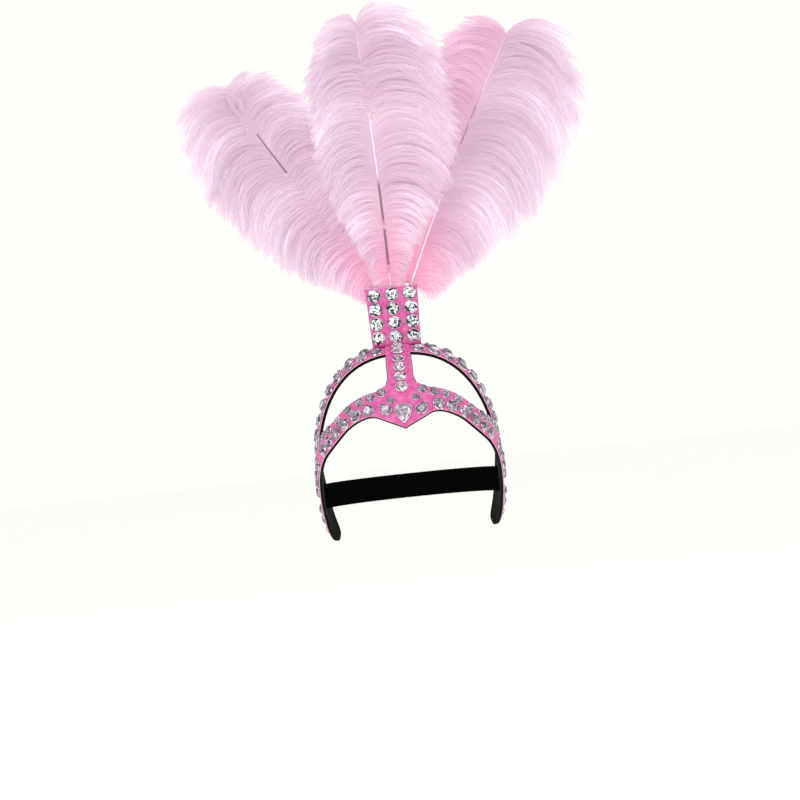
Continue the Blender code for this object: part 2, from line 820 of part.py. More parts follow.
def build_plume(plume, parts, material):
    bm = bmesh.new()
    places = shaft(plume, SHAFT_STEPS)
    floor = head_top() + POCKET_FLOOR + CLEARANCE
    point = places[0][0]
    upright = (Vector((0.0, 0.0, 1.0)), Vector((1.0, 0.0, 0.0)), Vector((0.0, -1.0, 0.0)))
    foot = Vector((point.x * FOOT_SIDE, point.y, floor))
    neck = foot.lerp(point, NECK_SHARE)
    neck.x = blend(foot.x, point.x, NECK_SIDE)
    half = QUILL / 2.0
    rings = []
    for place in ((foot, *upright), (neck, *upright), (point, *upright)):
        rings.append([bm.verts.new(corner) for corner in quill_ring(place, half, half)])
    stations = [place_at(places, number / LOCKS_A_SIDE) for number in range(LOCKS_A_SIDE + 1)]
    for number, place in enumerate(stations):
        width = blend(half, VANE_HALF_WIDTH, min(number / 2.0, 1.0))
        rings.append([bm.verts.new(corner) for corner in quill_ring(place, width, half)])
    bm.faces.new(rings[0])
    quill_rings = 3
    for low, high in zip(rings[:quill_rings], rings[1:]):
        bridge(bm, low, high)
    for number in range(LOCKS_A_SIDE):
        pair = (rings[number + quill_rings], rings[number + quill_rings + 1])
        bridge(bm, *pair, skip=(3, 7))
        shares = (number / LOCKS_A_SIDE, (number + 1) / LOCKS_A_SIDE)
        swing = 1.0 if number % 2 else -1.0
        for side in (-1.0, 1.0):
            add_lock(bm, plume, places, pair, shares, side, swing * side)
    add_tip(bm, places[-1], rings[-1], BARB_LENGTH * BARBS[-1].length)
    bmesh.ops.recalc_face_normals(bm, faces=bm.faces)
    add_object(plume.name, mesh_of(plume.name, bm), material, parts)


def main():
    clear_scene()
    parts = new_collection("Carnival headdress")
    guides = new_collection("Cutters", hidden=True)
    foam = finish("Black foam", BLACK, 0.85)
    pink = finish("Pink facing", PINK, 0.6)
    crystal = finish("Cut stone", CRYSTAL, 0.05, 0.9)
    elastic = finish("Black elastic", BLACK, 0.9)
    feather = finish("Pale pink feather", PALE_PINK, 0.8)
    build_front_band(parts, guides, foam, pink, crystal)
    build_crown_band(parts, guides, foam, pink, crystal)
    build_strap(parts, foam, pink)
    build_holder(parts, guides, foam, pink)
    build_main_stones(parts, crystal)
    sheet("elastic_strap", elastic_grid(), ELASTIC, elastic, parts)
    for plume in PLUMES:
        build_plume(plume, parts, feather)


main()
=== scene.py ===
import bpy
import numpy as np
from mathutils import Matrix, Vector


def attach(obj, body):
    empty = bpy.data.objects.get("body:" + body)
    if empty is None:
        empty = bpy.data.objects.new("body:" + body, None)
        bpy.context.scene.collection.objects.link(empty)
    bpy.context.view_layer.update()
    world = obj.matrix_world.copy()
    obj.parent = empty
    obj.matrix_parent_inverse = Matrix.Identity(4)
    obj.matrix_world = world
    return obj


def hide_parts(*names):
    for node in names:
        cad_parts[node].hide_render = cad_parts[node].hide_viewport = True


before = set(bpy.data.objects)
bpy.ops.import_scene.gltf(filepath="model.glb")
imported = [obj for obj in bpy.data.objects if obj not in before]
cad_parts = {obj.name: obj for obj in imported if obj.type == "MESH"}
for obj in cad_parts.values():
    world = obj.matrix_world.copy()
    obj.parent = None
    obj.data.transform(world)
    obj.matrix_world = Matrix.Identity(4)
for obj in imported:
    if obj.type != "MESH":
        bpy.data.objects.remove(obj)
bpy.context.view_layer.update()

# The rounded shape that the inside of the foam is fitted to:
# |x / halfWidth|^power + |(y - middleY) / depth|^power + |(z - springZ) / rise|^power = 1
fit = {
    "halfWidth": 0.0885,
    "front": 0.108,
    "back": 0.085,
    "rise": 0.133,
    "middleY": 0.005,
    "springZ": 0.010,
    "power": 2.4,
}
walls = {"foam": 0.0026, "facing": 0.0010, "gap": 0.0003, "seam": 0.0005, "setback": 0.0009}
overFoam = walls["foam"] + walls["gap"]
facingTop = overFoam + walls["facing"]


def stacked(x, y, z):  # three arrays made one array of points
    return np.stack(np.broadcast_arrays(x, y, z), -1).astype(float)


def signedPower(value, exponent):  # |value|^exponent with the value's own sign
    return np.sign(value) * np.abs(value) ** exponent


def eased(value, start, run):  # 0 up to start, then a straight line that is 1 after the run
    return np.clip((value - start) / run, 0.0, 1.0)


def fitTerms(points):  # the three fractions of the formula above, before their power
    depth = np.where(points[..., 1] < fit["middleY"], fit["front"], fit["back"])
    across = np.abs(points[..., 0]) / fit["halfWidth"]
    along = np.abs(points[..., 1] - fit["middleY"]) / depth
    up = np.maximum(points[..., 2] - fit["springZ"], 0.0) / fit["rise"]
    return np.stack([across, along, up], -1), depth


def ontoFit(points):  # scaled from the middle until the three terms add to one
    terms, _ = fitTerms(points)
    centre = np.zeros_like(points)
    centre[..., 1] = fit["middleY"]
    centre[..., 2] = np.minimum(points[..., 2], fit["springZ"])
    total = (terms ** fit["power"]).sum(-1)
    return centre + (points - centre) * (total ** (-1.0 / fit["power"]))[..., None]


def outward(points):  # slope of the formula above, at unit length
    terms, depth = fitTerms(points)
    slope = terms ** (fit["power"] - 1.0)
    normal = stacked(
        np.sign(points[..., 0]) * slope[..., 0] / fit["halfWidth"],
        np.sign(points[..., 1] - fit["middleY"]) * slope[..., 1] / depth,
        slope[..., 2] / fit["rise"],
    )
    return normal / np.linalg.norm(normal, axis=-1, keepdims=True)


def raised(points, height):  # moved out from the shape along its slope
    return points + outward(points) * np.asarray(height)[..., None]


def roundFit(turn, z):  # turn in degrees from the front, at a height
    angle = np.radians(turn)
    up = np.maximum(z - fit["springZ"], 0.0) / fit["rise"]
    level = (1.0 - up ** fit["power"]) ** (1.0 / fit["power"])
    depth = np.where(np.cos(angle) > 0.0, fit["front"], fit["back"])
    x = fit["halfWidth"] * level * signedPower(np.sin(angle), 2.0 / fit["power"])
    y = fit["middleY"] - depth * level * signedPower(np.cos(angle), 2.0 / fit["power"])
    return stacked(x, y, z)


# The formula above solved for y on its front, and then for z on its top
def frontOfFit(x, z):
    up = np.maximum(z - fit["springZ"], 0.0) / fit["rise"]
    left = 1.0 - up ** fit["power"] - (np.abs(x) / fit["halfWidth"]) ** fit["power"]
    return stacked(x, fit["middleY"] - fit["front"] * left ** (1.0 / fit["power"]), z)


def topOfFit(x, y):
    depth = np.where(y < fit["middleY"], fit["front"], fit["back"])
    side = (np.abs(x) / fit["halfWidth"]) ** fit["power"]
    left = 1.0 - side - (np.abs(y - fit["middleY"]) / depth) ** fit["power"]
    return fit["springZ"] + fit["rise"] * left ** (1.0 / fit["power"])


# faceSets holds arrays of corner numbers, one array for each number of corners, and source names
# the solid that the piece stands for. values are for each point, and cornerUv too.
def makePiece(name, points, faceSets, material, source, smooth=True, closed=True, values=None,
              faceValues=None, cornerUv=None, uvName="cloth"):
    points = np.ascontiguousarray(points.reshape(-1, 3), np.float32)
    if closed and enclosed(points, faceSets) < 0.0:
        faceSets = [faces[:, ::-1] for faces in faceSets]
    corners = np.concatenate([faces.ravel() for faces in faceSets]).astype(np.int32)
    sizes = np.concatenate([np.full(len(faces), faces.shape[1]) for faces in faceSets])
    starts = np.concatenate([[0], np.cumsum(sizes)[:-1]]).astype(np.int32)
    mesh = bpy.data.meshes.new(name)
    mesh.vertices.add(len(points))
    mesh.vertices.foreach_set("co", points.ravel())
    mesh.loops.add(len(corners))
    mesh.loops.foreach_set("vertex_index", corners)
    mesh.polygons.add(len(starts))
    mesh.polygons.foreach_set("loop_start", starts)
    mesh.polygons.foreach_set("use_smooth", np.full(len(starts), smooth))
    mesh.update(calc_edges=True)
    for domain, arrays in (("POINT", values), ("FACE", faceValues)):
        for key, array in (arrays or {}).items():
            layer = mesh.attributes.new(key, "FLOAT", domain)
            layer.data.foreach_set("value", np.ascontiguousarray(array.ravel(), np.float32))
    if cornerUv is not None:
        layer = mesh.uv_layers.new(name=uvName)
        uv = cornerUv.reshape(-1, 2)[corners]
        layer.data.foreach_set("uv", np.ascontiguousarray(uv.ravel(), np.float32))
    mesh.materials.append(material)
    piece = placed(name, mesh)
    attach(piece, "root")
    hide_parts(source)


def placed(name, data):  # a new object in the scene
    made = bpy.data.objects.new(name, data)
    bpy.context.scene.collection.objects.link(made)
    return made


def enclosed(points, faceSets):  # volume: the sum of the corner pyramids, negative if inside out
    total = 0.0
    for faces in faceSets:
        for step in range(1, faces.shape[1] - 1):
            a, b, c = points[faces[:, 0]], points[faces[:, step]], points[faces[:, step + 1]]
            total += np.einsum("ij,ij->", a, np.cross(b, c))
    return total


# Four corners for each cell between neighbouring rows and columns
def gridFaces(rows, columns, closeRows=False, closeColumns=False):
    row = np.arange(rows if closeRows else rows - 1)[:, None]
    column = np.arange(columns if closeColumns else columns - 1)[None, :]
    nextRow = (row + 1) % rows
    nextColumn = (column + 1) % columns
    corners = [row * columns + column, nextRow * columns + column,
               nextRow * columns + nextColumn, row * columns + nextColumn]
    shape = (row.size, column.size)
    return np.stack([np.broadcast_to(corner, shape) for corner in corners], -1).reshape(-1, 4)


def tubeFaces(rows, columns):  # a closed section carried along rows, with a cap at each end
    ends = np.stack([np.arange(columns)[::-1], (rows - 1) * columns + np.arange(columns)])
    return [gridFaces(rows, columns, closeColumns=True), ends]


def arcUv(grid):  # metres along the rows and round the columns
    along = np.zeros(grid.shape[:2])
    along[1:] = np.cumsum(np.linalg.norm(np.diff(grid, axis=0), axis=-1), axis=0)
    around = np.zeros(grid.shape[:2])
    around[:, 1:] = np.cumsum(np.linalg.norm(np.diff(grid, axis=1), axis=-1), axis=1)
    middle = along[:, along.shape[1] // 2][:, None]
    return np.stack([np.broadcast_to(middle, along.shape), around], -1)


# A closed strip's section: share across, how far in from the edge, and level from 0 to 1.
# Each edge is a half circle as thick as the strip, and takes a painted highlight, strongest at its
# rim.
def slabProfile(thickness, setback, across=12, roundness=5):
    swing = np.radians(np.linspace(-90.0, 90.0, roundness))
    edgeInset = setback + thickness / 2.0 * (1.0 - np.cos(swing))
    edgeLevel = (1.0 + np.sin(swing)) / 2.0
    flatInset = setback + thickness / 2.0
    top = np.linspace(0.0, 1.0, across + 1)[1:-1]
    bottom = top[::-2]
    share = np.concatenate([0.0 * swing, top, 0.0 * swing + 1.0, bottom])
    inset = np.concatenate([edgeInset, 0.0 * top + flatInset,
                            edgeInset[::-1], 0.0 * bottom + flatInset])
    level = np.concatenate([edgeLevel, 0.0 * top + 1.0, edgeLevel[::-1], 0.0 * bottom])
    # where the rounded edges take a painted highlight, strongest where they stick out furthest
    edgeHighlight = np.concatenate([np.cos(swing) ** 2, 0.0 * top, np.cos(swing) ** 2, 0.0 * bottom])
    return share, inset, level, edgeHighlight


# Carries the strip's section along stations on the fitted shape, from height low to high.
def slab(name, surface, stations, widths, low, high, setback, material, source):
    thickness = float(np.min(high - low))
    share, inset, level, edgeHighlight = slabProfile(thickness, setback)
    widths = np.broadcast_to(widths, stations.shape)[:, None]
    across = inset / widths + share * (1.0 - 2.0 * inset / widths)
    base = surface(np.broadcast_to(stations[:, None], across.shape), across)
    low = np.broadcast_to(low, stations.shape)[:, None]
    high = np.broadcast_to(high, stations.shape)[:, None]
    grid = raised(base, low + (high - low) * level)
    rows, columns = grid.shape[:2]
    edgeHighlights = np.broadcast_to(edgeHighlight, (rows, columns))
    makePiece(name, grid, tubeFaces(rows, columns), material, source, values={"paintedEdgeHighlight": edgeHighlights},
              cornerUv=arcUv(grid))


# A node with some of its inputs set or linked. In an input's name _ stands for a space, and a name
# such as _0 is its place among the inputs.
def node(tree, kind, settings=None, **inputs):
    made = tree.nodes.new(kind)
    for key, value in (settings or {}).items():
        setattr(made, key, value)
    for key, value in inputs.items():
        feed(tree, made, key, value)
    return made


def feed(tree, made, key, value):  # links an input to another node's output, or sets its value
    socket = made.inputs[int(key[1:]) if key[0] == "_" else key.replace("_", " ")]
    if isinstance(value, bpy.types.NodeSocket):
        tree.links.new(value, socket)
    else:
        socket.default_value = value


def maths(tree, operation, **inputs):  # the result of one sum
    return node(tree, "ShaderNodeMath", {"operation": operation}, **inputs).outputs[0]


def mixed(tree, factor, first, second):  # the first colour turns into the second
    made = node(tree, "ShaderNodeMix", {"data_type": "RGBA"}, Factor=factor, A=first, B=second)
    return made.outputs["Result"]


def newGroup(name, inputs, outputs):
    group = bpy.data.node_groups.new(name, "ShaderNodeTree")
    for label, value in inputs.items():
        kind = "NodeSocketColor" if isinstance(value, tuple) else "NodeSocketFloat"
        socket = group.interface.new_socket(label, in_out="INPUT", socket_type=kind)
        socket.default_value = value
    for label, kind in outputs.items():
        group.interface.new_socket(label, in_out="OUTPUT", socket_type=kind)
    return group, group.nodes.new("NodeGroupInput"), group.nodes.new("NodeGroupOutput")


# Mottled colour and a fine grain: noise at two sizes on Object coordinates.
def buildClothGrain():
    group, given, out = newGroup(
        "clothGrain",
        {"Base": (0.8, 0.1, 0.4, 1.0), "Light": (0.9, 0.4, 0.6, 1.0), "Patches": 90.0,
         "Grain": 1400.0, "Spread": 0.5},
        {"Color": "NodeSocketColor", "Height": "NodeSocketFloat"},
    )
    place = node(group, "ShaderNodeTexCoord").outputs["Object"]
    patches, grain = (
        node(group, "ShaderNodeTexNoise", Vector=place, Scale=given.outputs[size], Detail=detail,
             Roughness=roughness).outputs["Fac"]
        for size, detail, roughness in (("Patches", 3.0, 0.6), ("Grain", 2.0, 0.5)))
    both = maths(group, "MULTIPLY", _0=patches, _1=grain)
    share = node(group, "ShaderNodeMapRange", Value=both, From_Min=0.14, From_Max=0.42,
                 To_Max=given.outputs["Spread"])
    colour = mixed(group, share.outputs[0], given.outputs["Base"], given.outputs["Light"])
    feed(group, out, "Color", colour)
    feed(group, out, "Height", grain)
    return group


def newMaterial(name, roughness, metallic=0.0, **constants):
    material = bpy.data.materials.new(name)
    material.use_nodes = True
    shader = material.node_tree.nodes["Principled BSDF"]
    shader.inputs["Roughness"].default_value = roughness
    shader.inputs["Metallic"].default_value = metallic
    for key, value in constants.items():
        feed(material.node_tree, shader, key, value)
    return material, material.node_tree, shader


def bumped(tree, shader, height, strength, distance):  # a height made the shader's normal
    bump = node(tree, "ShaderNodeBump", Height=height, Strength=strength, Distance=distance)
    feed(tree, shader, "Normal", bump.outputs["Normal"])


def attribute(tree, name):
    return node(tree, "ShaderNodeAttribute", {"attribute_name": name}).outputs["Fac"]


def ramp(tree, value, stops):  # colours set out along a value from 0 to 1
    made = node(tree, "ShaderNodeValToRGB", Fac=value)
    scale = made.color_ramp
    scale.elements.remove(scale.elements[0])
    scale.elements[0].position = stops[0][0]
    scale.elements[0].color = (*stops[0][1], 1.0)
    for position, colour in stops[1:]:
        scale.elements.new(position).color = (*colour, 1.0)
    return made.outputs["Color"]


clothGrain = buildClothGrain()
# Cloth colours, the facing's painted edge highlight among them, the scales of the grain's patches
# and threads, and the elastic's pitches in metres
clothes = {
    "pink": {"Base": (0.56, 0.034, 0.245, 1.0), "Light": (0.80, 0.27, 0.54, 1.0),
             "Patches": 160.0, "Grain": 1500.0, "Spread": 0.7},
    "pinkEdgeHighlight": (0.80, 0.46, 0.60, 1.0),
    "foam": {"Base": (0.001, 0.001, 0.0012, 1.0), "Light": (0.006, 0.006, 0.0065, 1.0),
             "Patches": 220.0, "Grain": 1900.0, "Spread": 0.8},
    # the elastic's colour from its grooves to its ribs, darker in the grooves as painted shade
    "elastic": ((0.0, (0.0005, 0.0005, 0.0006)), (1.0, (0.004, 0.004, 0.0045))),
    "ribPitch": 0.0011,
    "knitPitch": 0.0007,
    "knitShare": 0.3,
}
# Painted reflections: a facet's shades from dark to light, and how metallic it is. Colours of the
# plumes' barbs by tone, of their blush, of their shafts by how dark they are, and the barbs'
# painted glow
paintedStoneReflections = {
    "Bright": (((0.0, (0.010, 0.012, 0.015)), (0.26, (0.035, 0.05, 0.06)),
                (0.36, (0.20, 0.30, 0.33)), (0.50, (0.52, 0.55, 0.60)),
                (0.62, (0.86, 0.86, 0.90)), (1.0, (1.0, 1.0, 1.0))), 0.5),
    "Band": (((0.0, (0.012, 0.010, 0.012)), (0.20, (0.08, 0.065, 0.08)),
              (0.45, (0.20, 0.17, 0.215)), (0.72, (0.35, 0.295, 0.37)),
              (0.90, (0.78, 0.68, 0.77)), (1.0, (0.98, 0.93, 0.98))), 0.25),
    "Strap": (((0.0, (0.05, 0.035, 0.045)), (0.25, (0.26, 0.19, 0.24)),
               (0.55, (0.52, 0.43, 0.50)), (0.80, (0.80, 0.74, 0.80)),
               (1.0, (1.0, 0.98, 1.0))), 0.3),
}
feathers = {
    "tones": ((0.0, (0.69, 0.57, 0.665)), (0.4, (0.735, 0.625, 0.705)),
              (0.75, (0.785, 0.705, 0.765)), (1.0, (0.92, 0.89, 0.92))),
    "blush": (0.88, 0.44, 0.62, 1.0),
    # painted light: the barbs glow in their own colour to lift their shade
    "paintedGlow": 0.42,
    "through": 0.55,
    "shaft": ((0.45, (0.93, 0.82, 0.87)), (0.75, (0.70, 0.45, 0.55)), (1.0, (0.25, 0.13, 0.17))),
}


def grainOf(tree, kind):  # the shared grain in a cloth's own colours and sizes
    return node(tree, "ShaderNodeGroup", {"node_tree": clothGrain}, **clothes[kind])


def pinkFacingMaterial():  # pink cloth, paler along its rounded edges as a painted highlight
    material, tree, shader = newMaterial("pinkFacing", 0.6, Sheen_Weight=0.05)
    grained = grainOf(tree, "pink")
    # pale pink mixed in along the rounded edges: a painted highlight
    edgeHighlight = attribute(tree, "paintedEdgeHighlight")
    colour = mixed(tree, edgeHighlight, grained.outputs["Color"], clothes["pinkEdgeHighlight"])
    feed(tree, shader, "Base_Color", colour)
    bumped(tree, shader, grained.outputs["Height"], 0.5, 0.0004)
    return material


def foamMaterial():  # dull black with the same grain as the cloth, at other sizes
    material, tree, shader = newMaterial("blackFoam", 0.7, Specular_IOR_Level=0.08)
    grained = grainOf(tree, "foam")
    feed(tree, shader, "Base_Color", grained.outputs["Color"])
    bumped(tree, shader, grained.outputs["Height"], 0.35, 0.0003)
    return material


# Flat ribs along the elastic and a finer knit across them, both on its own map in metres:
# height = sin(2 pi y / ribPitch) + knitShare sin(2 pi x / knitPitch)
def elasticMaterial():
    material, tree, shader = newMaterial("blackElastic", 0.85, Specular_IOR_Level=0.0)
    place = node(tree, "ShaderNodeUVMap", {"uv_map": "cloth"})
    split = node(tree, "ShaderNodeSeparateXYZ", Vector=place.outputs["UV"])
    waves = []
    for axis, pitch in (("Y", clothes["ribPitch"]), ("X", clothes["knitPitch"])):
        turns = maths(tree, "MULTIPLY", _0=split.outputs[axis], _1=2.0 * np.pi / pitch)
        waves.append(maths(tree, "SINE", _0=turns))
    height = maths(tree, "MULTIPLY_ADD", _0=waves[1], _1=clothes["knitShare"], _2=waves[0])
    most = 1.0 + clothes["knitShare"]
    lit = node(tree, "ShaderNodeMapRange", Value=height, From_Min=-most, From_Max=most)
    # the colour follows the height too, darker in the grooves: painted shade
    feed(tree, shader, "Base_Color", ramp(tree, lit.outputs[0], clothes["elastic"]))
    bumped(tree, shader, lit.outputs[0], 0.6, 0.0003)
    return material


# Each facet's colour is a painted reflection, light or dark as silvered facets mirror, from its own
# value
def crystalMaterial(name, stops, metallic):
    material, tree, shader = newMaterial(name, 0.06, metallic, Coat_Weight=0.6,
                                         Coat_Roughness=0.02)
    feed(tree, shader, "Base_Color", ramp(tree, attribute(tree, "paintedFacetReflection"), stops))
    return material


# Barbs: tone per barb, paler towards the tips and pinker at the foot and where blushed.
# Light passes through them, so a translucent shader is mixed in. They also glow in their own
# colour, a painted light that lifts their shade.
def featherMaterial():
    material, tree, shader = newMaterial("plumeBarbs", 0.8, Emission_Strength=feathers["paintedGlow"])
    pale = ramp(tree, attribute(tree, "barbTone"), feathers["tones"])
    colour = mixed(tree, attribute(tree, "blush"), pale, feathers["blush"])
    feed(tree, shader, "Base_Color", colour)
    feed(tree, shader, "Emission_Color", colour)
    through = node(tree, "ShaderNodeBsdfTranslucent", Color=colour)
    both = node(tree, "ShaderNodeMixShader", Fac=feathers["through"], _1=shader.outputs[0],
                _2=through.outputs[0])
    feed(tree, tree.nodes["Material Output"], "Surface", both.outputs[0])
    return material


def quillMaterial():  # the shaft's own shade with noise added to it as flecks
    material, tree, shader = newMaterial("plumeQuill", 0.45)
    place = node(tree, "ShaderNodeTexCoord").outputs["Object"]
    flecks = node(tree, "ShaderNodeTexNoise", Vector=place, Scale=260.0, Detail=2.0)
    dark = maths(tree, "MULTIPLY_ADD", _0=flecks.outputs["Fac"], _1=0.8,
                 _2=attribute(tree, "shaftShade"))
    feed(tree, shader, "Base_Color", ramp(tree, dark, feathers["shaft"]))
    return material


pinkFacing = pinkFacingMaterial()
blackFoam = foamMaterial()
blackElastic = elasticMaterial()
brightStone, bandStone, strapStone = (
    crystalMaterial("cutStone" + name, *shades) for name, shades in paintedStoneReflections.items())
plumeBarbs = featherMaterial()
plumeQuill = quillMaterial()
print("Materials made")


# Front band, from the middle to a tab's tip: turn in degrees of each edge, and its height as a
# share, from the tabs' ends up to lowTop for the low edge and to top for the high one. Where the
# high turn is nan, the high edge is the crown band's end, highShare across it.
frontBand = {
    "top": 0.103,
    "lowTop": 0.0735,
    "tabDrop": 0.0475,
    "rows": np.array([
        # lowTurn, lowShare, highTurn, highShare
        (0.0, 0.893, 0.0, 1.0),
        (8.0, 0.956, 8.8, 1.0),
        (16.5, 1.0, 14.0, 0.972),
        (25.0, 0.988, 27.0, 0.944),
        (36.0, 0.927, 39.0, 0.893),
        (45.0, 0.847, 51.0, 0.815),
        (53.0, 0.781, 63.0, 0.760),
        (64.0, 0.700, np.nan, 0.0),
        (73.0, 0.605, np.nan, 0.5),
        (82.0, 0.490, np.nan, 1.0),
        (89.5, 0.360, 100.0, 0.515),
        (98.0, 0.215, 108.0, 0.370),
        (105.5, 0.095, 116.0, 0.200),
        (113.0, 0.015, 123.0, 0.070),
        (118.0, 0.000, 121.5, 0.012),
    ]),
    "kinks": (7, 9),
    "stationsARow": 6,
}
crownBand = {"width": 0.030, "lean": 17.4, "endFront": 57.0, "endRear": 66.0, "stations": 141}
strap = {"width": 0.025, "footWidth": 0.030, "facingDrop": 0.0014, "stations": 41}
holder = {
    "height": 0.058,
    "topWidth": 0.0494,
    "footWidth": 0.0454,
    "depth": 0.0194,
    "frontY": -0.0317,
    "corner": 0.006,
    "pocketFloor": 0.008,
    "seatRise": 1.03,
    "outerLip": ((-0.0003, 0.995), (-0.0008, 1.0)),
    "innerLip": ((0.0008, 1.0), (0.0003, 0.995), (0.0, 0.97), (0.0, 0.6)),
    "hem": 0.0002,
}
fitTop = fit["springZ"] + fit["rise"]
holderTop = fitTop + holder["height"]


def crownPoint(share, across):  # the mid-line's direction, then half the width each way
    lean = np.radians(crownBand["lean"])
    end = crownBand["endFront"] + (crownBand["endRear"] - crownBand["endFront"]) * across
    angle = np.radians(share * end)
    up = np.cos(angle)
    middle = np.array((0.0, fit["middleY"], fit["springZ"]))
    way = stacked(np.sin(angle), -np.sin(lean) * up, np.cos(lean) * up)
    centreLine = ontoFit(middle + 0.1 * way)
    rearward = np.array((0.0, np.cos(lean), np.sin(lean)))
    offset = (np.asarray(across) - 0.5) * crownBand["width"]
    return ontoFit(centreLine + rearward * offset[..., None])


# A cubic through points at 0, 1, 2 and so on, whose slope at each is that of its neighbours.
def splined(points, along):
    slope = np.gradient(points, axis=0)
    index = np.clip(along.astype(int), 0, len(points) - 2)
    t = (along - index)[..., None]
    a, b, u, v = points[index], points[index + 1], slope[index], slope[index + 1]
    return (a * (1 + 2 * t) * (1 - t) ** 2 + b * t * t * (3 - 2 * t)
            + u * t * (1 - t) ** 2 - v * t * t * (1 - t))


def rowEdges():  # the table's rows as points on the fitted shape
    lowTurn, lowShare, highTurn, highShare = frontBand["rows"].T
    climb = lowShare * (frontBand["lowTop"] + frontBand["tabDrop"])
    low = roundFit(lowTurn, climb - frontBand["tabDrop"])
    onCrown = np.isnan(highTurn)
    rise = np.where(onCrown, 0.5, highShare) * (frontBand["top"] + frontBand["tabDrop"])
    high = roundFit(np.where(onCrown, 0.0, highTurn), rise - frontBand["tabDrop"])
    high[onCrown] = crownPoint(np.ones(onCrown.sum()), highShare[onCrown])
    return low, high


lowRows, highRows = rowEdges()


# Both edges at along rows from the middle. The high edge has a kink at each side of the crown
# band's end.
def bandEdges(along):
    low = ontoFit(splined(lowRows, along))
    first, second = frontBand["kinks"]
    high = splined(highRows[: first + 1], np.minimum(along, first))
    middle = splined(highRows[first : second + 1], np.clip(along - first, 0, second - first))
    last = splined(highRows[second:], np.maximum(along - second, 0))
    high = np.where((along > first)[..., None], middle, high)
    high = np.where((along > second)[..., None], last, high)
    return low, ontoFit(high)


def bandSurface(along, across):  # negative along is the left side
    low, high = bandEdges(np.abs(along))
    points = ontoFit(low + (high - low) * across[..., None])
    points[..., 0] *= np.where(along < 0.0, -1.0, 1.0)
    return points


def crownSurface(share, across):  # share runs from -1 to 1, from side to side over the top
    points = crownPoint(np.abs(share), across)
    points[..., 0] *= np.where(share < 0.0, -1.0, 1.0)
    return points


def strapHalfWidth(share):  # widens in a straight line over the foot's last fifth
    flare = (strap["footWidth"] - strap["width"]) / 2.0
    return strap["width"] / 2.0 + flare * np.maximum(1.0 - 5.0 * share, 0.0)


# Side runs from -1 to 1. Past 1 the share runs on over the crown band to the holder's front.
def strapPoint(share, side, lowered=0.0):
    x = side * strapHalfWidth(share)
    foot = frontOfFit(x, frontBand["top"] + walls["seam"] - lowered + 0.0 * x)
    frontEdge = crownPoint(np.zeros(1), np.zeros(1))[0]
    top = ontoFit(stacked(x, frontEdge[1] - walls["seam"], frontEdge[2]))
    reach = holder["frontY"] - walls["gap"] - walls["facing"] - walls["seam"]
    over = ontoFit(stacked(x, reach, fitTop))
    early = ontoFit(foot + (top - foot) * np.clip(share, 0.0, 1.0)[..., None])
    late = ontoFit(top + (over - top) * np.clip(share - 1.0, 0.0, 1.0)[..., None])
    return np.where((share > 1.0)[..., None], late, early)


def strapSurface(share, across):  # its foam, on the front band's high edge
    return strapPoint(share, across * 2.0 - 1.0)


def strapFacingSurface(share, across):  # its foot meets the front band's facing
    return strapPoint(share, across * 2.0 - 1.0, strap["facingDrop"])


def strapClimb(share):  # its facing climbs on to the crown band's facing at the top
    return overFoam + eased(share, 0.8, 0.15) * (walls["facing"] + walls["gap"])


def buildBands():
    last = len(frontBand["rows"]) - 1
    along = np.linspace(-last, last, 2 * last * frontBand["stationsARow"] + 1)
    low, high = bandEdges(np.abs(along))
    widths = np.linalg.norm(high - low, axis=-1)
    share = np.linspace(-1.0, 1.0, crownBand["stations"]) * (1.0 - walls["seam"] / fit["rise"])
    setback = walls["setback"]
    for name, surface, stations, wide, source in (
        ("frontBand", bandSurface, along, widths, "front_band"),
        ("crownBand", crownSurface, share, crownBand["width"], "crown_band"),
    ):
        slab(name + "Foam", surface, stations, wide, 0.0, walls["foam"], 0.0, blackFoam, source)
        slab(name + "Facing", surface, stations, wide, overFoam, facingTop, setback, pinkFacing,
             source + "_facing")
    bare = np.linspace(0.0, 1.0, strap["stations"])
    slab("centreStrapFoam", strapSurface, bare, 2.0 * strapHalfWidth(bare), 0.0, walls["foam"], 0.0,
         blackFoam, "centre_strap")
    faced = np.linspace(0.0, 2.0, 2 * strap["stations"])
    climb = strapClimb(faced)
    slab("centreStrapFacing", strapFacingSurface, faced, 2.0 * strapHalfWidth(faced), climb,
         climb + walls["facing"], setback, pinkFacing, "centre_strap_facing")


buildBands()
print("Bands built")


elastic = {
    "width": 0.025,
    "thickness": 0.0012,
    "backY": 0.096,
    "startTurn": 97.5,
    "freeTurn": 118.0,
    "stations": 121,
}


# Follows the fitted shape to the tabs' ends. Behind them its depth is stretched by a share that
# grows smoothly, as 3 t^2 - 2 t^3, so that it reaches backY.
def elasticSurface(turn, across):
    z = (across - 0.5) * elastic["width"]
    points = roundFit(np.where(turn > 180.0, 360.0 - turn, turn), z)
    behind = 180.0 - np.abs(turn - 180.0) - elastic["freeTurn"]
    free = eased(behind, 0.0, 180.0 - elastic["freeTurn"])
    reach = (elastic["backY"] - fit["middleY"]) / fit["back"]
    swing = 1.0 + (reach - 1.0) * free * free * (3.0 - 2.0 * free)
    points[..., 0] *= np.where(turn > 180.0, -1.0, 1.0)
    points[..., 1] = fit["middleY"] + (points[..., 1] - fit["middleY"]) * swing
    return points


def buildElastic():
    turns = np.linspace(elastic["startTurn"], 360.0 - elastic["startTurn"], elastic["stations"])
    inner = -walls["seam"] - elastic["thickness"]
    slab("elasticStrap", elasticSurface, turns, elastic["width"], inner, -walls["seam"], 0.0,
         blackElastic, "elastic_strap")


buildElastic()
print("Elastic built")


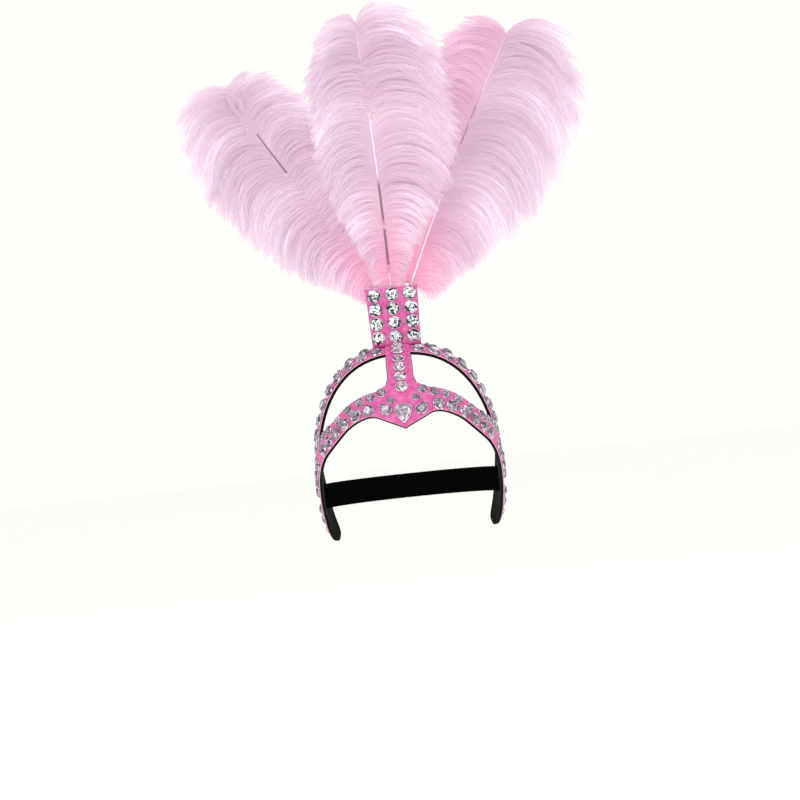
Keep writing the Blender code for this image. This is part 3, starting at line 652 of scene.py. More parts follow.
# A rounded rectangle round the holder's middle: four quarter circles joined by flats.
def roundedRing(halfWidth, halfDepth, corner, steps=8):
    quarter = np.repeat(np.arange(4), steps + 1)
    angle = np.radians(90.0 * quarter + np.tile(np.linspace(0.0, 90.0, steps + 1), 4))
    xSide = np.where((quarter == 0) | (quarter == 3), 1.0, -1.0)
    ySide = np.where(quarter < 2, 1.0, -1.0)
    x = xSide * (halfWidth - corner) + corner * np.cos(angle)
    y = ySide * (halfDepth - corner) + corner * np.sin(angle)
    return x, holder["frontY"] + holder["depth"] / 2.0 + y


# The holder's outline grown by this much. Rise goes from 0, on the crown band, to 1.
def holderRing(growth, rise):
    width = holder["footWidth"] + (holder["topWidth"] - holder["footWidth"]) * rise
    x, y = roundedRing(width / 2.0 + growth, holder["depth"] / 2.0 + growth,
                       holder["corner"] + growth)
    seat = topOfFit(x, y) + (facingTop + walls["gap"]) * holder["seatRise"]
    return stacked(x, y, seat + (holderTop - seat) * rise)


# The foam is one wall that goes up outside and down inside to the pocket's floor. Its fabric is
# a thin ring round it, closed over its cut edge at the top.
def buildHolder():
    section = [(0.0, rise) for rise in np.linspace(0.0, 0.985, 16)] + [*holder["outerLip"]]
    floorRise = 1.1 * holder["pocketFloor"] / holder["height"]
    section += [(-walls["foam"] + inset, rise)
                for inset, rise in (*holder["innerLip"], (0.0, floorRise))]
    grid = np.stack([holderRing(growth, rise) for growth, rise in section])
    makePiece("plumeHolderFoam", grid, tubeFaces(*grid.shape[:2]), blackFoam, "plume_holder")
    low, hem = walls["gap"], holder["hem"]
    high = low + walls["facing"]
    outerRise = np.linspace(0.0, 0.99, 18)
    section = [(high, rise) for rise in outerRise]
    section += [(high - hem, 0.997), ((low + high) / 2.0, 1.0), (low + hem, 0.997)]
    section += [(low, rise) for rise in outerRise[::-3]]
    grid = np.stack([holderRing(growth, rise) for growth, rise in section])
    rows, columns = grid.shape[:2]
    # the rows that close over the top take the painted edge highlight
    edgeHighlights = np.zeros((rows, columns))
    edgeHighlights[len(outerRise) : len(outerRise) + 3] = 1.0
    makePiece("plumeHolderFacing", grid, [gridFaces(rows, columns, True, True)], pinkFacing,
              "plume_holder_facing", values={"paintedEdgeHighlight": edgeHighlights})


buildHolder()
print("Holder built")


stones = {
    "round": 0.0125,
    "band": 0.0130,
    "small": 0.0097,
    "crown": 0.0134,
    "panel": 0.0134,
    "strap": 0.0123,
    "rise": 0.27,
    "table": 0.55,
    "margin": 0.0013,
    "sunk": 0.0003,
    # how far each facet's painted reflection strays at random, for each kind of stone
    "bandContrast": 0.75,
    "centreContrast": 0.7,
    "panelContrast": 1.5,
    "strapContrast": 0.9,
    "bandSeeds": (11, 12),
    "firstSeed": 20,
    "crownPitch": 0.0156,
    "bandPitch": 0.0138,
    "smallPitch": 0.0113,
}
# Stones over the point: name, side in strap widths, height in band tops, width in round stones,
# turn in degrees, and how far the upper end narrows to a drop's tip.
centreStones = (
    ("pear_stone", -0.02, 0.725, 1.38, 180.0, 1.0),
    ("drop_stone_left", -0.69, 0.777, 0.90, 50.0, 0.6),
    ("drop_stone_right", 0.69, 0.760, 0.90, -50.0, 0.6),
    ("accent_stone_left", -0.46, 0.852, 0.60, 0.0, 0.0),
    ("accent_stone_right", 0.50, 0.860, 0.60, 0.0, 0.0),
)


# A cut stone one wide: girdle of 16, a rim with a painted highlight, crown of 8, table of 8 and the
# star seen through it, painted flat on it. Returns points and faces, and how bright each face's
# painted reflection tends to be.
def brilliant(drop=0.0):
    rings = []  # radius, height share, how many, turn in sixteenths
    for radius, height, count, turn in (
        (0.97, 0.0, 16, 0.0), (1.0, 0.20, 16, 0.0), (0.92, 0.38, 16, 0.0), (0.78, 0.70, 8, 1.0),
        (stones["table"], 1.0, 8, 0.0), (0.33, 1.0, 8, 1.0), (0.12, 1.0, 8, 0.0),
    ):
        angle = 2.0 * np.pi * (np.arange(count) * (16 // count) + turn) / 16.0
        up = np.cos(angle)
        narrow = (1.0 - 0.375 * drop * (1.0 + up)) / (1.0 - 0.29 * drop)
        x = np.sin(angle) * narrow * radius / 2.0
        rings.append(np.stack([x, up * radius / 2.0, height + 0.0 * up], -1))
    points = np.concatenate(rings)
    starts = np.cumsum([0] + [len(ring) for ring in rings])
    sixteen = np.arange(16)
    eight = np.arange(8)

    def at(ring, index):
        return starts[ring] + index % len(rings[ring])

    quads = [np.stack([at(ring, sixteen), at(ring, sixteen + 1), at(ring + 1, sixteen + 1),
                       at(ring + 1, sixteen)], -1) for ring in (0, 1)]
    kites = np.stack([at(4, eight), at(3, eight - 1), at(2, 2 * eight), at(3, eight)], -1)
    upper = np.concatenate([
        np.stack([at(3, eight), at(2, 2 * eight), at(2, 2 * eight + 1)], -1),
        np.stack([at(3, eight), at(2, 2 * eight + 1), at(2, 2 * eight + 2)], -1),
    ])
    star = np.stack([at(4, eight), at(3, eight), at(4, eight + 1)], -1)
    seen = np.concatenate([
        np.stack([at(4, eight), at(4, eight + 1), at(5, eight)], -1),
        np.stack([at(5, eight - 1), at(4, eight), at(5, eight)], -1),
    ])
    inner = np.concatenate([
        np.stack([at(5, eight - 1), at(5, eight), at(6, eight)], -1),
        np.stack([at(6, eight), at(5, eight), at(6, eight + 1)], -1),
    ])
    culet = at(6, eight)[None, :]
    base = at(0, sixteen)[::-1][None, :]
    fours = np.concatenate([*quads, kites])
    threes = np.concatenate([upper, star, seen, inner])
    faces = [threes, fours, culet, base]
    # how bright each kind of facet's painted reflection tends to be; the rim's is a painted
    # highlight
    reflectionLevels = [
        np.repeat((0.30, 0.55, 0.55, 0.50), (16, 8, 16, 16)),
        np.repeat((0.05, 0.80, 0.42), (16, 16, 8)),
        np.full(1, 0.6),
        np.full(1, 0.2),
    ]
    return points, faces, reflectionLevels


# places holds (point, side, up, normal) arrays, sizes (width, length, rise) arrays. A facet's
# painted reflection is how bright it tends to be, plus chance times the contrast.
def setStones(name, places, sizes, drop, material, source, seed, contrast):
    points, faces, reflectionLevels = brilliant(drop)
    point, side, up, normal = places
    width, length, rise = (np.asarray(size, float)[:, None, None] for size in sizes)
    x, y, z = (points[None, :, axis, None] for axis in range(3))
    corners = (point[:, None] + side[:, None] * x * width + up[:, None] * y * length
               + normal[:, None] * z * rise)
    count = len(point)
    offsets = np.arange(count)[:, None, None] * len(points)
    joined = [(shape[None] + offsets).reshape(-1, shape.shape[1]) for shape in faces]
    rng = np.random.default_rng(seed)
    shades = []
    for level in reflectionLevels:
        wild = rng.random((count, len(level)))
        shades.append(np.clip(level[None] + (wild - 0.5) * contrast, 0.0, 1.0).ravel())
    makePiece(name, corners, joined, material, source, smooth=False,
              faceValues={"paintedFacetReflection": np.concatenate(shades)})


# Places on the fitted shape: each has its z outwards and its y as near up as it can be.
def seats(points, height):
    normal = outward(points)
    side = np.cross(np.array((0.0, 0.0, 1.0)), normal)
    length = np.linalg.norm(side, axis=-1, keepdims=True)
    side = np.where(length < 0.2, np.array((1.0, 0.0, 0.0)), side / np.maximum(length, 1e-9))
    return points + normal * height, side, np.cross(normal, side), normal


# Points along a path, as near to this pitch as fills it from start to its end less a margin
def spaced(path, start, endMargin, pitch):
    samples = path(np.linspace(0.0, 1.0, 301))
    lengths = np.concatenate([[0.0], np.cumsum(np.linalg.norm(np.diff(samples, axis=0), axis=-1))])
    room = lengths[-1] - endMargin - start
    count = max(int(round(room / pitch)), 1)
    targets = start + room * np.arange(count + 1) / count
    index = np.searchsorted(lengths, targets - 1e-9)
    return samples[np.clip(index, 0, 300)]


def straightEdges(along):  # the source's edges, with straight runs between the table's rows
    index = np.clip(along.astype(int), 0, len(lowRows) - 2)
    t = (along - index)[..., None]
    low = ontoFit(lowRows[index] * (1 - t) + lowRows[index + 1] * t)
    high = ontoFit(highRows[index] * (1 - t) + highRows[index + 1] * t)
    return low, high


def bandRow(inset, fromHigh, last):  # a line this far in from an edge of the front band
    def path(share):
        low, high = straightEdges(share * last)
        across = inset / np.linalg.norm(high - low, axis=-1)
        across = 1.0 - across if fromHigh else across
        return ontoFit(low + (high - low) * across[..., None])
    return path


# Keeps the points whose stones clear those already taken, each by both radii and a gap
def roomFor(points, radius, taken, squeeze=1.0):
    kept = []
    for point in points:
        if all(np.linalg.norm(point - other) > (radius + reach + walls["gap"]) * squeeze
               for other, reach in taken):
            taken.append((point, radius))
            kept.append(point)
    return np.array(kept)


def mirrored(points):  # the same points with x turned round as well
    return np.concatenate([points, points * np.array((-1.0, 1.0, 1.0))])


def centreSeat(side, height):  # where a stone over the point lies on the fitted shape
    return frontOfFit(np.array(side * strap["width"]), np.array(height * frontBand["top"]))


def buildBandStones():
    last = len(frontBand["rows"]) - 1.95  # just short of the table's last row
    taken = []
    beside = 0.0
    for _, side, height, width, _, _ in centreStones:
        radius = width * stones["round"] / 2.0
        taken.append((centreSeat(side, height), radius))
        beside = max(beside, side * strap["width"] + radius)
    band, small, margin = stones["band"], stones["small"], stones["margin"]
    lowerRow = bandRow(band / 2.0 + margin, False, last)
    lower = spaced(lowerRow, beside + band + margin, 0.0, stones["bandPitch"])
    upperRow = bandRow(small / 2.0 + margin, True, last)
    first = (strap["footWidth"] + small) / 2.0
    upper = spaced(upperRow, first, 0.0, stones["smallPitch"])
    between = spaced(upperRow, first + stones["smallPitch"] / 2.0, 0.0, stones["smallPitch"] / 3.0)
    lower = roomFor(lower, band / 2.0, taken)
    upper = roomFor(np.concatenate([upper, between]), small / 2.0, taken, 0.9)
    points = mirrored(np.concatenate([lower, upper]))
    width = np.tile(np.repeat((band, small), (len(lower), len(upper))), 2)
    seat = facingTop - stones["sunk"]
    setStones("frontBandStones", seats(points, seat), (width, width, stones["rise"] * width), 0.0,
              bandStone, "front_band_facing", stones["bandSeeds"][0],
              stones["bandContrast"])
    size, gap = stones["crown"], 2.0 * walls["seam"]
    inset = (size / 2.0 + margin) / crownBand["width"]
    firstRear = holder["footWidth"] / 2.0 + walls["gap"] + walls["facing"] + size / 2.0 + gap
    rows = []
    for across, first in ((inset, (strap["width"] + size) / 2.0 + gap), (1.0 - inset, firstRear)):
        def crownRow(share, across=across):
            return crownPoint(share, across + 0.0 * share)
        rows.append(spaced(crownRow, first, size / 2.0 + margin, stones["crownPitch"]))
    points = mirrored(np.concatenate(rows))
    width = np.full(len(points), size)
    setStones("crownBandStones", seats(points, seat), (width, width, stones["rise"] * width), 0.0,
              bandStone, "crown_band_facing", stones["bandSeeds"][1],
              stones["bandContrast"])


def sourcePoints(name):  # a solid's corners, each once
    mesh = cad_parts[name].data
    points = np.empty(len(mesh.vertices) * 3, np.float32)
    mesh.vertices.foreach_get("co", points)
    return np.unique(np.round(points.reshape(-1, 3).astype(float), 6), axis=0)


# Where a stone of the source sits and its sizes, from how far its corners reach along its side,
# its turned up and its normal
def stoneFrame(name, normal, turn):
    points = sourcePoints(name)
    normal = normal / np.linalg.norm(normal)
    side = np.cross(np.array((0.0, 0.0, 1.0)), normal)
    side = np.array((1.0, 0.0, 0.0)) if np.linalg.norm(side) < 0.2 else side / np.linalg.norm(side)
    up = np.cross(normal, side)
    angle = np.radians(turn)
    side, up = side * np.cos(angle) + up * np.sin(angle), up * np.cos(angle) - side * np.sin(angle)
    along = [points @ axis for axis in (side, up, normal)]
    middle = [(values.max() + values.min()) / 2.0 for values in along[:2]]
    point = side * middle[0] + up * middle[1] + normal * along[2].min()
    sizes = [float(np.ptp(values)) for values in along]
    return (point, side, up, normal), sizes


# A stone of this width where the source has one, as high as it and, without a length, as long
def setSourceStone(name, normal, turn, width, length, drop, material, seed, contrast):
    place, own = stoneFrame(name, normal, turn)
    sizes = [width], [own[1] if length is None else length], [own[2]]
    setStones(name.title().replace("_", ""), [part[None] for part in place], sizes, drop,
              material, name, seed, contrast)


def buildMainStones():
    seed = stones["firstSeed"]
    for name, side, height, width, turn, drop in centreStones:
        material = strapStone if name == "pear_stone" else bandStone
        setSourceStone(name, outward(centreSeat(side, height)), turn, width * stones["round"],
                       None, drop, material, seed, stones["centreContrast"])
        seed += 1
    front = np.array((0.0, -1.0, 0.0))
    for column in ("left", "middle", "right"):
        for row in range(1, 5):
            setSourceStone(f"panel_stone_{column}_{row}", front, 0.0, stones["panel"],
                           stones["panel"], 0.0, brightStone, seed,
                           stones["panelContrast"])
            seed += 1
    for row in range(1, 7):
        name = f"strap_stone_{row}"
        normal = outward(ontoFit(sourcePoints(name).mean(0)))
        setSourceStone(name, normal, 0.0, stones["strap"], stones["strap"], 0.0, strapStone,
                       seed, stones["strapContrast"])
        seed += 1


buildBandStones()
buildMainStones()
print("Stones set")


plumeShape = {
    "length": 0.270,
    "barbLength": 0.110,
    "depth": 0.013,
    "vaneStart": 0.005,
    "quill": 0.0036,
    "barbs": 6600,
    "steps": 11,
    "locks": 126,
    "width": 0.00058,
    "footSide": 0.55,
    "lift": 0.0007,
    "wave": 0.0010,
    "lag": 0.17,
    "firstSeed": 100,
}
# How barbs and locks differ. free, over, streaks, whiteLocks and lightStrands are shares of them
# that lie loose, start over the covered shaft, are streaks, have white tips and are light.
# Angles are in degrees, stray and loose being those of locks and of single barbs, and shortest
# is the shortest lock's reach. The tone's values are its middle, its spread from barb to barb and
# from lock to lock, what a streak adds, and what a light strand and any other one adds.
barbSpread = {
    "free": 0.05,
    "freeHold": 0.2,
    "hold": 0.86,
    "lockRoots": 0.35,
    "shortest": 0.84,
    "shortestBarb": 0.78,
    "stray": 2.0,
    "tipStray": 2.0,
    "downStray": 5.0,
    "loose": 0.35,
    "freeLoose": 4.0,
    "downLoose": 8.0,
    "down": 0.10,
    "swerve": 6.0,
    "looseSwerve": 2.0,
    "lockDepth": 0.12,
    "roll": 30.0,
    "over": 0.4,
    "overWidth": 0.012,
    "overLift": 0.0028,
    "tone": 0.40,
    "barbTone": 0.035,
    "lockTone": 0.025,
    "streaks": 0.04,
    "streakTone": 0.3,
    "whiteLocks": 0.4,
    "lightStrands": 0.22,
    "strandTones": (0.48, -0.04),
    "blushReach": 0.24,
}
# For each plume: side and back in the holder, length, lean, bend, recline and nod in degrees. Then
# for the left and right vane how long the barbs are, how long at the foot and at the crest beside
# that, how far they turn over the tip, how pink they blush and how white their tips are. Then the
# stretches where barbs cover the shaft, and how dark the shaft is at shares of its length.
plumes = {
    "plumeLeft": {
        "node": "plume_left",
        "shaft": (-0.40, 0.36, 0.88, -34.0, 3.0, 8.0, 73.0),
        "reach": (0.80, 0.62),
        "foot": (1.0, 1.0),
        "crest": (1.18, 1.0),
        "overTip": (1.0, 1.0),
        "blush": (0.03, 0.05),
        "white": (0.2, 0.1),
        "covered": ((0.0, 0.60), (0.84, 1.0)),
        "shade": ((0.0, 0.3), (0.5, 0.5), (0.58, 1.0), (0.92, 0.9), (1.0, 0.3)),
    },
    "plumeCentre": {
        "node": "plume_centre",
        "shaft": (0.0, -0.42, 0.975, 0.0, -4.0, -5.0, 62.0),
        "reach": (0.61, 0.85),
        "foot": (0.9, 0.55),
        "crest": (0.80, 0.97),
        "overTip": (0.75, 0.40),
        "blush": (0.02, 0.06),
        "white": (0.0, 0.12),
        "covered": ((0.64, 0.82),),
        "shade": ((0.0, 0.2), (0.07, 0.3), (0.10, 0.8), (0.20, 0.8), (0.23, 0.3), (0.27, 0.9),
                  (0.38, 0.8), (0.43, 0.0), (1.0, 0.0)),
    },
    "plumeRight": {
        "node": "plume_right",
        "shaft": (0.78, 0.36, 1.02, 24.0, 6.0, 6.0, 60.0),
        "reach": (0.61, 1.06),
        "foot": (0.9, 1.0),
        "crest": (0.95, 0.93),
        "overTip": (-0.2, 0.2),
        "blush": (0.20, 0.03),
        "white": (0.1, 0.2),
        "covered": (),
        "shade": ((0.0, 0.1), (0.31, 0.0), (0.36, 0.40), (0.50, 0.35), (0.58, 0.45), (0.72, 0.35),
                  (0.82, 0.05), (1.0, 0.0)),
    },
}
# Share along the vane, length, angle at which the barbs leave and how much further they turn
barbRows = np.array([
    (0.00, 0.30, 76.0, 40.0),
    (0.12, 0.46, 58.0, 80.0),
    (0.24, 0.70, 48.0, 98.0),
    (0.42, 1.00, 42.0, 108.0),
    (0.62, 1.16, 38.0, 112.0),
    (0.78, 1.15, 34.0, 110.0),
    (0.88, 1.04, 26.0, 108.0),
    (0.95, 0.92, 4.0, 116.0),
    (1.00, 0.76, -45.0, 135.0),
])
# Share along a barb, and how much of the vane's depth the barbs spread over there
fullness = np.array([
    (0.0, 0.0), (0.06, 0.10), (0.25, 0.60), (0.55, 1.0), (0.82, 0.85), (1.0, 0.5)])


# The shaft leans to its side, bends further in a straight line, reclines, and nods forward over
# its last 0.45 as the square of how far along that it is
def shaftOf(side, back, length, lean, bend, recline, nod, count=192):
    share = np.arange(count + 1) / count
    leaned = np.radians(lean + bend * share)
    curl = eased(share, 0.55, 0.45)
    rear = np.radians(recline - nod * curl * curl)
    way = stacked(np.sin(leaned) * np.cos(rear), np.sin(rear), np.cos(leaned) * np.cos(rear))
    sideways = stacked(np.cos(leaned), 0.0, -np.sin(leaned))
    forward = np.cross(sideways, way)
    y = holder["frontY"] + holder["depth"] / 2.0 * (1.0 + back)
    base = np.array((side * holder["topWidth"] / 2.0, y, holderTop))
    step = plumeShape["length"] * length / count
    points = base + np.concatenate([np.zeros((1, 3)), np.cumsum(way[:-1] * step, axis=0)])
    return share, points, way, sideways, forward


# Where barbs start on the shaft and which way they face: over the tip they face as the shaft
# does a little lower, so they stand off its nod.
def barbRoots(shaft, vaneShare):
    share, points, *ways = shaft
    at = plumeShape["vaneStart"] + (1.0 - plumeShape["vaneStart"]) * vaneShare
    lag = at - plumeShape["lag"] * eased(vaneShare, 0.60, 0.35)
    return [np.stack([np.interp(where, share, column[:, axis]) for axis in range(3)], -1)
            for where, column in ((at, points), *((lag, column) for column in ways))]


# A barb leaves the shaft at an angle and turns away from it, fast at first and then slower:
# angle = leave + turn (1 - (1 - out) ^ 1.5). Its line adds up steps along that angle.
def barbLine(shaft, vaneShare, out, side, reach, stray, swerve, overTip):
    point, way, sideways, forward = barbRoots(shaft, vaneShare)
    length, leave, droop = (
        np.interp(vaneShare, barbRows[:, 0], column) for column in barbRows[:, 1:].T)
    flatter = (1.0 - overTip) * eased(vaneShare, 0.85, 0.15)
    leave, droop = leave + 75.0 * flatter, droop - 60.0 * flatter
    angle = np.radians(leave + stray + (droop + swerve) * (1.0 - (1.0 - out) ** 1.5))
    step = np.diff(out, axis=-1)
    middle = (angle[:, 1:] + angle[:, :-1]) / 2.0
    ahead, apart = (np.pad(np.cumsum(turned(middle) * step, axis=1), ((0, 0), (1, 0)))
                    for turned in (np.cos, np.sin))
    reach = plumeShape["barbLength"] * length * reach
    line = point + way * (ahead * reach)[..., None]
    line = line + sideways * (side * apart * reach)[..., None]
    falling = 0.06 + 0.30 * eased(vaneShare, 0.60, 0.35)
    return line + forward * (falling * reach * out * out)[..., None], sideways, forward


# Barbs gathered into locks that converge at their tips: a lock pulls a barb's share of the vane
# towards its own by hold out^2. Each barb and each lock draws its own length, angles and depth.
def barbLines(rng, shaft, side, row, root):
    reach, foot, crest, overTip = (
        row[key][side > 0.0] for key in ("reach", "foot", "crest", "overTip"))
    count, steps, locks = plumeShape["barbs"], plumeShape["steps"], plumeShape["locks"]
    layer = rng.random(count)
    rear = (layer < 0.5).astype(int)  # the rear half is gathered into locks of its own
    lockEdges = (np.arange(locks)[None, :] + rng.uniform(-0.4, 1.4, (2, locks))) / locks
    nearest = (root * locks + rng.normal(0.0, barbSpread["lockRoots"], count)).astype(int)
    lock = np.clip(nearest, 0, locks - 1)
    free = rng.random(count) < barbSpread["free"]
    centre = lockEdges[rear, lock]
    out = np.linspace(0.0, 1.0, steps + 1)[None, :] ** 0.9
    held = barbSpread["hold"] + (1.0 - barbSpread["hold"]) * rng.random(count)
    hold = np.where(free, barbSpread["freeHold"], held)[:, None]
    share = root[:, None] + (centre - root)[:, None] * hold * out**2.0
    share = np.clip(share, 0.0, 1.0)
    lockReach = rng.uniform(barbSpread["shortest"], 1.0, (2, locks))[rear, lock]
    shortest = barbSpread["shortestBarb"]
    barbReach = lockReach * (shortest + (1.0 - shortest) * rng.random(count) ** 0.5)
    barbReach *= np.interp(root, (0.0, 0.45, 0.75, 1.0), (foot, 1.0, 1.0, crest))
    tipness = eased(root, 0.78, 0.22)
    downy = np.exp(-root / barbSpread["down"])
    looseness = np.where(free, barbSpread["freeLoose"], barbSpread["loose"])
    looseness = looseness + barbSpread["downLoose"] * downy
    spread = barbSpread["stray"] + barbSpread["tipStray"] * tipness
    spread = spread + barbSpread["downStray"] * downy
    stray = rng.normal(0.0, 1.0, (2, locks))[rear, lock] * spread
    stray = stray + rng.normal(0.0, 1.0, count) * looseness
    swerve = rng.normal(0.0, barbSpread["swerve"], (2, locks))[rear, lock]
    swerve = swerve + rng.normal(0.0, barbSpread["looseSwerve"], count) * looseness
    line, sideways, forward = barbLine(shaft, share, out, side, (reach * barbReach)[:, None],
                                       stray[:, None], swerve[:, None], overTip)
    growth = np.clip(0.35 + 2.2 * root, 0.0, 1.0)
    depth = (layer * 1.8 - 0.9) * growth
    depth = depth + rng.normal(0.0, barbSpread["lockDepth"], (2, locks))[rear, lock]
    full = np.interp(out, fullness[:, 0], fullness[:, 1]) * plumeShape["depth"]
    line = line + forward * (full * depth[:, None])[..., None]
    # where barbs cover the shaft, some start in front of it and on its other side
    hidden = sum((root > start) & (root < end) for start, end in row["covered"])
    over = (hidden > 0) & (rng.random(count) < barbSpread["over"])
    wide = barbSpread["overWidth"] - 0.008 * tipness
    across = (over * rng.random(count) * wide)[:, None] * (1.0 - out)
    line = line + forward * (over[:, None] * barbSpread["overLift"])[..., None]
    return line - sideways * (side * across)[..., None], forward, out, rear, lock


# Tapered ribbons on the barbs' lines. Each has a slow wave across it, stronger towards its tip,
# and its own roll and width, which narrows as 1 - 0.75 out^2.5.
def ribbons(rng, line, forward, out, rear, lock):
    count, locks = len(line), plumeShape["locks"]
    drawn = rng.random((2, 2, locks))[:, rear, lock] + 0.06 * rng.random((2, count))
    phase, pace = drawn[..., None]
    wave = np.sin(2.0 * np.pi * (phase + out * (0.7 + 1.3 * pace))) * out * plumeShape["wave"]
    tangent = np.gradient(line, axis=1)
    tangent /= np.linalg.norm(tangent, axis=-1, keepdims=True)
    flank = np.cross(tangent, forward)
    flank /= np.linalg.norm(flank, axis=-1, keepdims=True)
    line = line + flank * wave[..., None]
    turn = barbSpread["roll"]
    roll = np.radians(rng.uniform(-turn, turn, count))[:, None, None]
    broad = flank * np.cos(roll) + np.cross(tangent, flank) * np.sin(roll)
    thick = 0.6 + 0.8 * rng.random(count)
    width = plumeShape["width"] * thick[:, None] * (1.0 - 0.75 * out**2.5) / 2.0
    halves = np.array((-1.0, 1.0))[:, None]
    return line[:, :, None] + broad[:, :, None] * halves * width[..., None, None]


# Tone and blush along each barb. The tone drifts in two slow waves up the vane, and the blush
# falls off from the plume's foot as exp(-(height / blushReach)^2).
def barbLooks(rng, root, out, rear, lock, seed, blush, white):
    count, locks = len(root), plumeShape["locks"]
    streak = (rng.random(count) < barbSpread["streaks"]) * barbSpread["streakTone"]
    tipped = rng.random((2, locks)) < barbSpread["whiteLocks"]
    tipped = np.where(tipped, white, 0.0)[rear, lock]
    drift = 0.12 * np.sin(root * 17.0 + seed) + 0.06 * np.sin(root * 41.0 + 2.0 * seed)
    tone = barbSpread["tone"] + rng.normal(0.0, barbSpread["barbTone"], count)
    tone = tone + rng.normal(0.0, barbSpread["lockTone"], (2, locks))[rear, lock]
    strand = np.minimum((root * 3 * locks).astype(int), 3 * locks - 1)  # a lock's three strands
    light = rng.random((2, 3 * locks)) < barbSpread["lightStrands"]
    light = np.where(light, *barbSpread["strandTones"])[rear, strand]
    tone = (tone + streak + drift)[:, None] + 0.04 * (out - 0.4) + tipped[:, None] * out**2
    tone = tone + light[:, None] * np.clip(out * 2.0 - 0.3, 0.0, 1.0)
    height = root[:, None] + 0.2 * out
    pink = blush + 0.55 * np.exp(-((height / barbSpread["blushReach"]) ** 2))
    pink = pink + 0.05 * (1.0 - out) ** 2
    return {key: np.repeat(np.clip(value, 0, 1), 2)
            for key, value in (("barbTone", tone), ("blush", pink))}


def buildVane(name, shaft, side, row, seed):
    rng = np.random.default_rng(seed)
    count, steps = plumeShape["barbs"], plumeShape["steps"]
    root = np.sort((np.arange(count) + rng.random(count)) / count)
    line, forward, out, rear, lock = barbLines(rng, shaft, side, row, root)
    points = ribbons(rng, line, forward, out, rear, lock)
    blush, white = (row[key][side > 0.0] for key in ("blush", "white"))
    values = barbLooks(rng, root, out, rear, lock, seed, blush, white)
    cell = np.array([(2 * s, 2 * s + 2, 2 * s + 3, 2 * s + 1) for s in range(steps)])
    faces = (np.arange(count)[:, None, None] * 2 * (steps + 1) + cell[None]).reshape(-1, 4)
    uv = np.stack(np.broadcast_arrays(out, root[:, None]), -1).repeat(2, axis=1)
    makePiece(name, points, [faces], plumeBarbs, row["node"], closed=False, values=values,
              cornerUv=uv, uvName="OFBake")


# A round tube down the shaft, thinning to its tip, with its foot in the holder's pocket
def buildQuill(label, shaft, row):
    _, points, way, sideways, forward = shaft
    base = points[0]
    floor = fitTop + holder["pocketFloor"] + walls["gap"]
    foot = np.array((base[0] * plumeShape["footSide"], base[1], floor))
    steps = 6
    below = foot + (base - foot) * (np.linspace(0.0, 1.0, steps, endpoint=False) ** 0.9)[:, None]
    keep = slice(0, len(points), 4)
    upper = points[keep]
    rise = np.linspace(0.0, 1.0, len(upper))
    upper = upper + forward[keep] * (plumeShape["lift"] * eased(rise, 0.0, 0.08))[:, None]
    path = np.concatenate([below, upper])
    sides = np.concatenate([np.repeat(sideways[:1], steps, 0), sideways[keep]])
    fronts = np.concatenate([np.repeat(forward[:1], steps, 0), forward[keep]])
    share = np.linspace(0.0, 1.0, len(path))
    radius = plumeShape["quill"] / 2.0 * np.interp(share, (0, 0.05, 0.25, 1), (0.6, 1.0, 0.6, 0.2))
    angle = 2.0 * np.pi * np.arange(10) / 10
    ring = sides[:, None] * np.cos(angle)[:, None] + fronts[:, None] * np.sin(angle)[:, None]
    grid = path[:, None] + ring * radius[:, None, None]
    rows, columns = grid.shape[:2]
    dark = np.interp(np.concatenate([np.zeros(steps), rise]), *np.array(row["shade"]).T)
    makePiece(label + "Quill", grid, tubeFaces(rows, columns), plumeQuill, row["node"],
              values={"shaftShade": np.repeat(dark, columns)})


def buildPlumes():
    for number, (label, row) in enumerate(plumes.items()):
        shaft = shaftOf(*row["shaft"])
        buildQuill(label, shaft, row)
        for word, side in (("Left", -1.0), ("Right", 1.0)):
            seed = plumeShape["firstSeed"] + 10 * number + (side > 0.0)
            buildVane(label + "Vane" + word, shaft, side, row, seed)


buildPlumes()
print("Plumes built")


studio = {
    "floorZ": -0.30,
    "floorRings": (0.5, 1.5, 4.0, 12.0),
    "floorColour": (0.95, 0.95, 0.93, 1.0),
    "floorGlow": 0.06,
    "sky": 1.0,
    "skyColour": (1.0, 1.0, 0.968, 1.0),
    "boxes": ((0.40, (0.06, 0.06, 0.07)), (0.50, (0.45, 0.47, 0.50)), (0.58, (1.0, 1.0, 1.0))),
    "reflected": 1.15,
    "distance": 2.45,
    "aim": (-0.0027, 0.0889),
    "roll": 6.0,
    "seen": 0.8,
    "sensor": 36.0,
}
# Each light's place, the point that it faces, its size and its power
lights = {
    "key": ((-1.3, -1.9, 1.7), (0.0, 0.0, 0.2), 1.4, 22.0),
    "fill": ((1.8, -1.6, 0.6), (0.0, 0.0, 0.2), 1.6, 10.0),
    "back": ((0.6, 1.8, 1.4), (0.0, 0.0, 0.3), 1.2, 8.0),
}


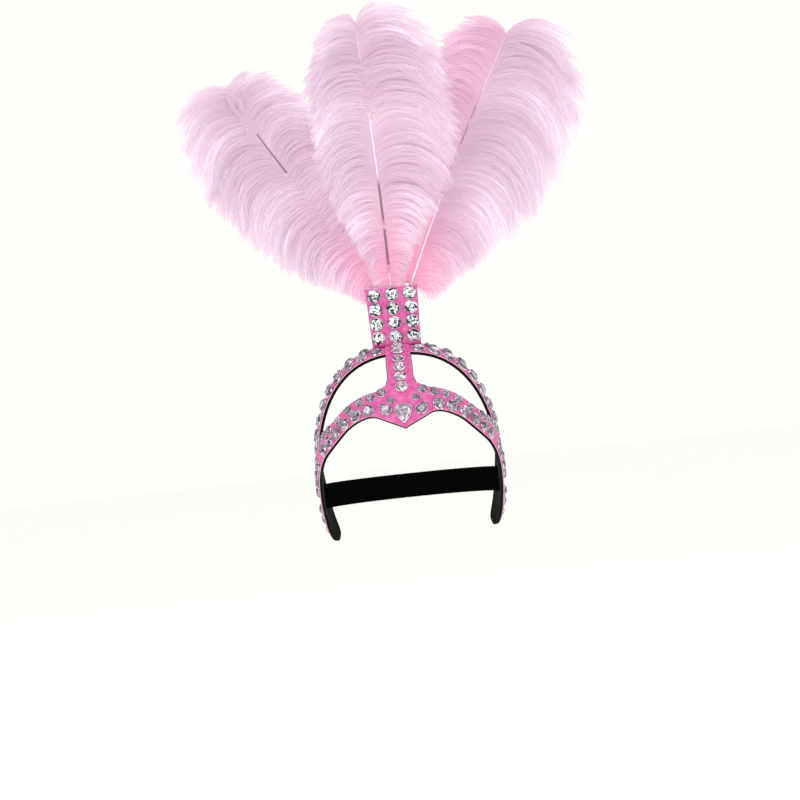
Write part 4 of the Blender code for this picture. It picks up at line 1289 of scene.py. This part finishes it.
def buildFloor():  # a disc of rings round its middle
    angle = np.linspace(0.0, 2.0 * np.pi, 97)[:-1]
    radius = np.array(studio["floorRings"])[:, None]
    rings = stacked(np.cos(angle) * radius, np.sin(angle) * radius, studio["floorZ"])
    material, tree, shader = newMaterial("paleFloor", 0.9)
    for key, value in (("Base_Color", "floorColour"), ("Emission_Color", "floorColour"),
                       ("Emission_Strength", "floorGlow")):
        feed(tree, shader, key, studio[value])
    mesh = bpy.data.meshes.new("floor")
    faces = gridFaces(len(radius), len(angle), closeColumns=True)[:, ::-1].tolist()
    mesh.from_pydata(rings.reshape(-1, 3).tolist(), [], faces + [list(range(len(angle)))])
    mesh.materials.append(material)
    placed("floor", mesh)


# Even white light, and for mirror reflections alone soft boxes between darker walls
def buildSky():
    world = bpy.data.worlds.new("studio")
    bpy.context.scene.world = world
    world.use_nodes = True
    tree = world.node_tree
    plain = tree.nodes["Background"]
    feed(tree, plain, "Color", studio["skyColour"])
    feed(tree, plain, "Strength", studio["sky"])
    place = node(tree, "ShaderNodeTexCoord").outputs["Generated"]
    boxes = node(tree, "ShaderNodeTexNoise", Vector=place, Scale=3.4, Detail=1.0)
    colour = ramp(tree, boxes.outputs["Fac"], studio["boxes"])
    reflected = node(tree, "ShaderNodeBackground", Color=colour, Strength=studio["reflected"])
    ray = node(tree, "ShaderNodeLightPath").outputs["Is Glossy Ray"]
    both = node(tree, "ShaderNodeMixShader", _0=ray, _1=plain.outputs[0],
                _2=reflected.outputs[0])
    feed(tree, tree.nodes["World Output"], "Surface", both.outputs[0])


def addLight(name, place, target, size, power):  # a square light that faces its target
    data = bpy.data.lights.new(name, "AREA")
    data.size = size
    data.energy = power
    lamp = placed(name, data)
    lamp.location = place
    way = Vector(target) - Vector(place)
    lamp.rotation_euler = way.to_track_quat("-Z", "Y").to_euler()


# Level with its aim and turned a little about its own line of sight. Its focal length is such
# that it sees this many metres across at the piece's distance.
def buildCamera():
    data = bpy.data.cameras.new("camera")
    data.sensor_width = studio["sensor"]
    data.lens = studio["sensor"] * studio["distance"] / studio["seen"]
    data.clip_end = 100.0
    camera = placed("camera", data)
    x, z = studio["aim"]
    camera.location = (x, -studio["distance"], z)
    camera.rotation_mode = "XYZ"
    tilt = Matrix.Rotation(np.radians(90.0), 3, "X")
    roll = Matrix.Rotation(np.radians(studio["roll"]), 3, "Y")
    camera.rotation_euler = (roll @ tilt).to_euler()
    bpy.context.scene.camera = camera


buildFloor()
buildSky()
for name, light in lights.items():
    addLight(name, *light)
buildCamera()
bpy.context.scene.view_settings.view_transform = "Standard"
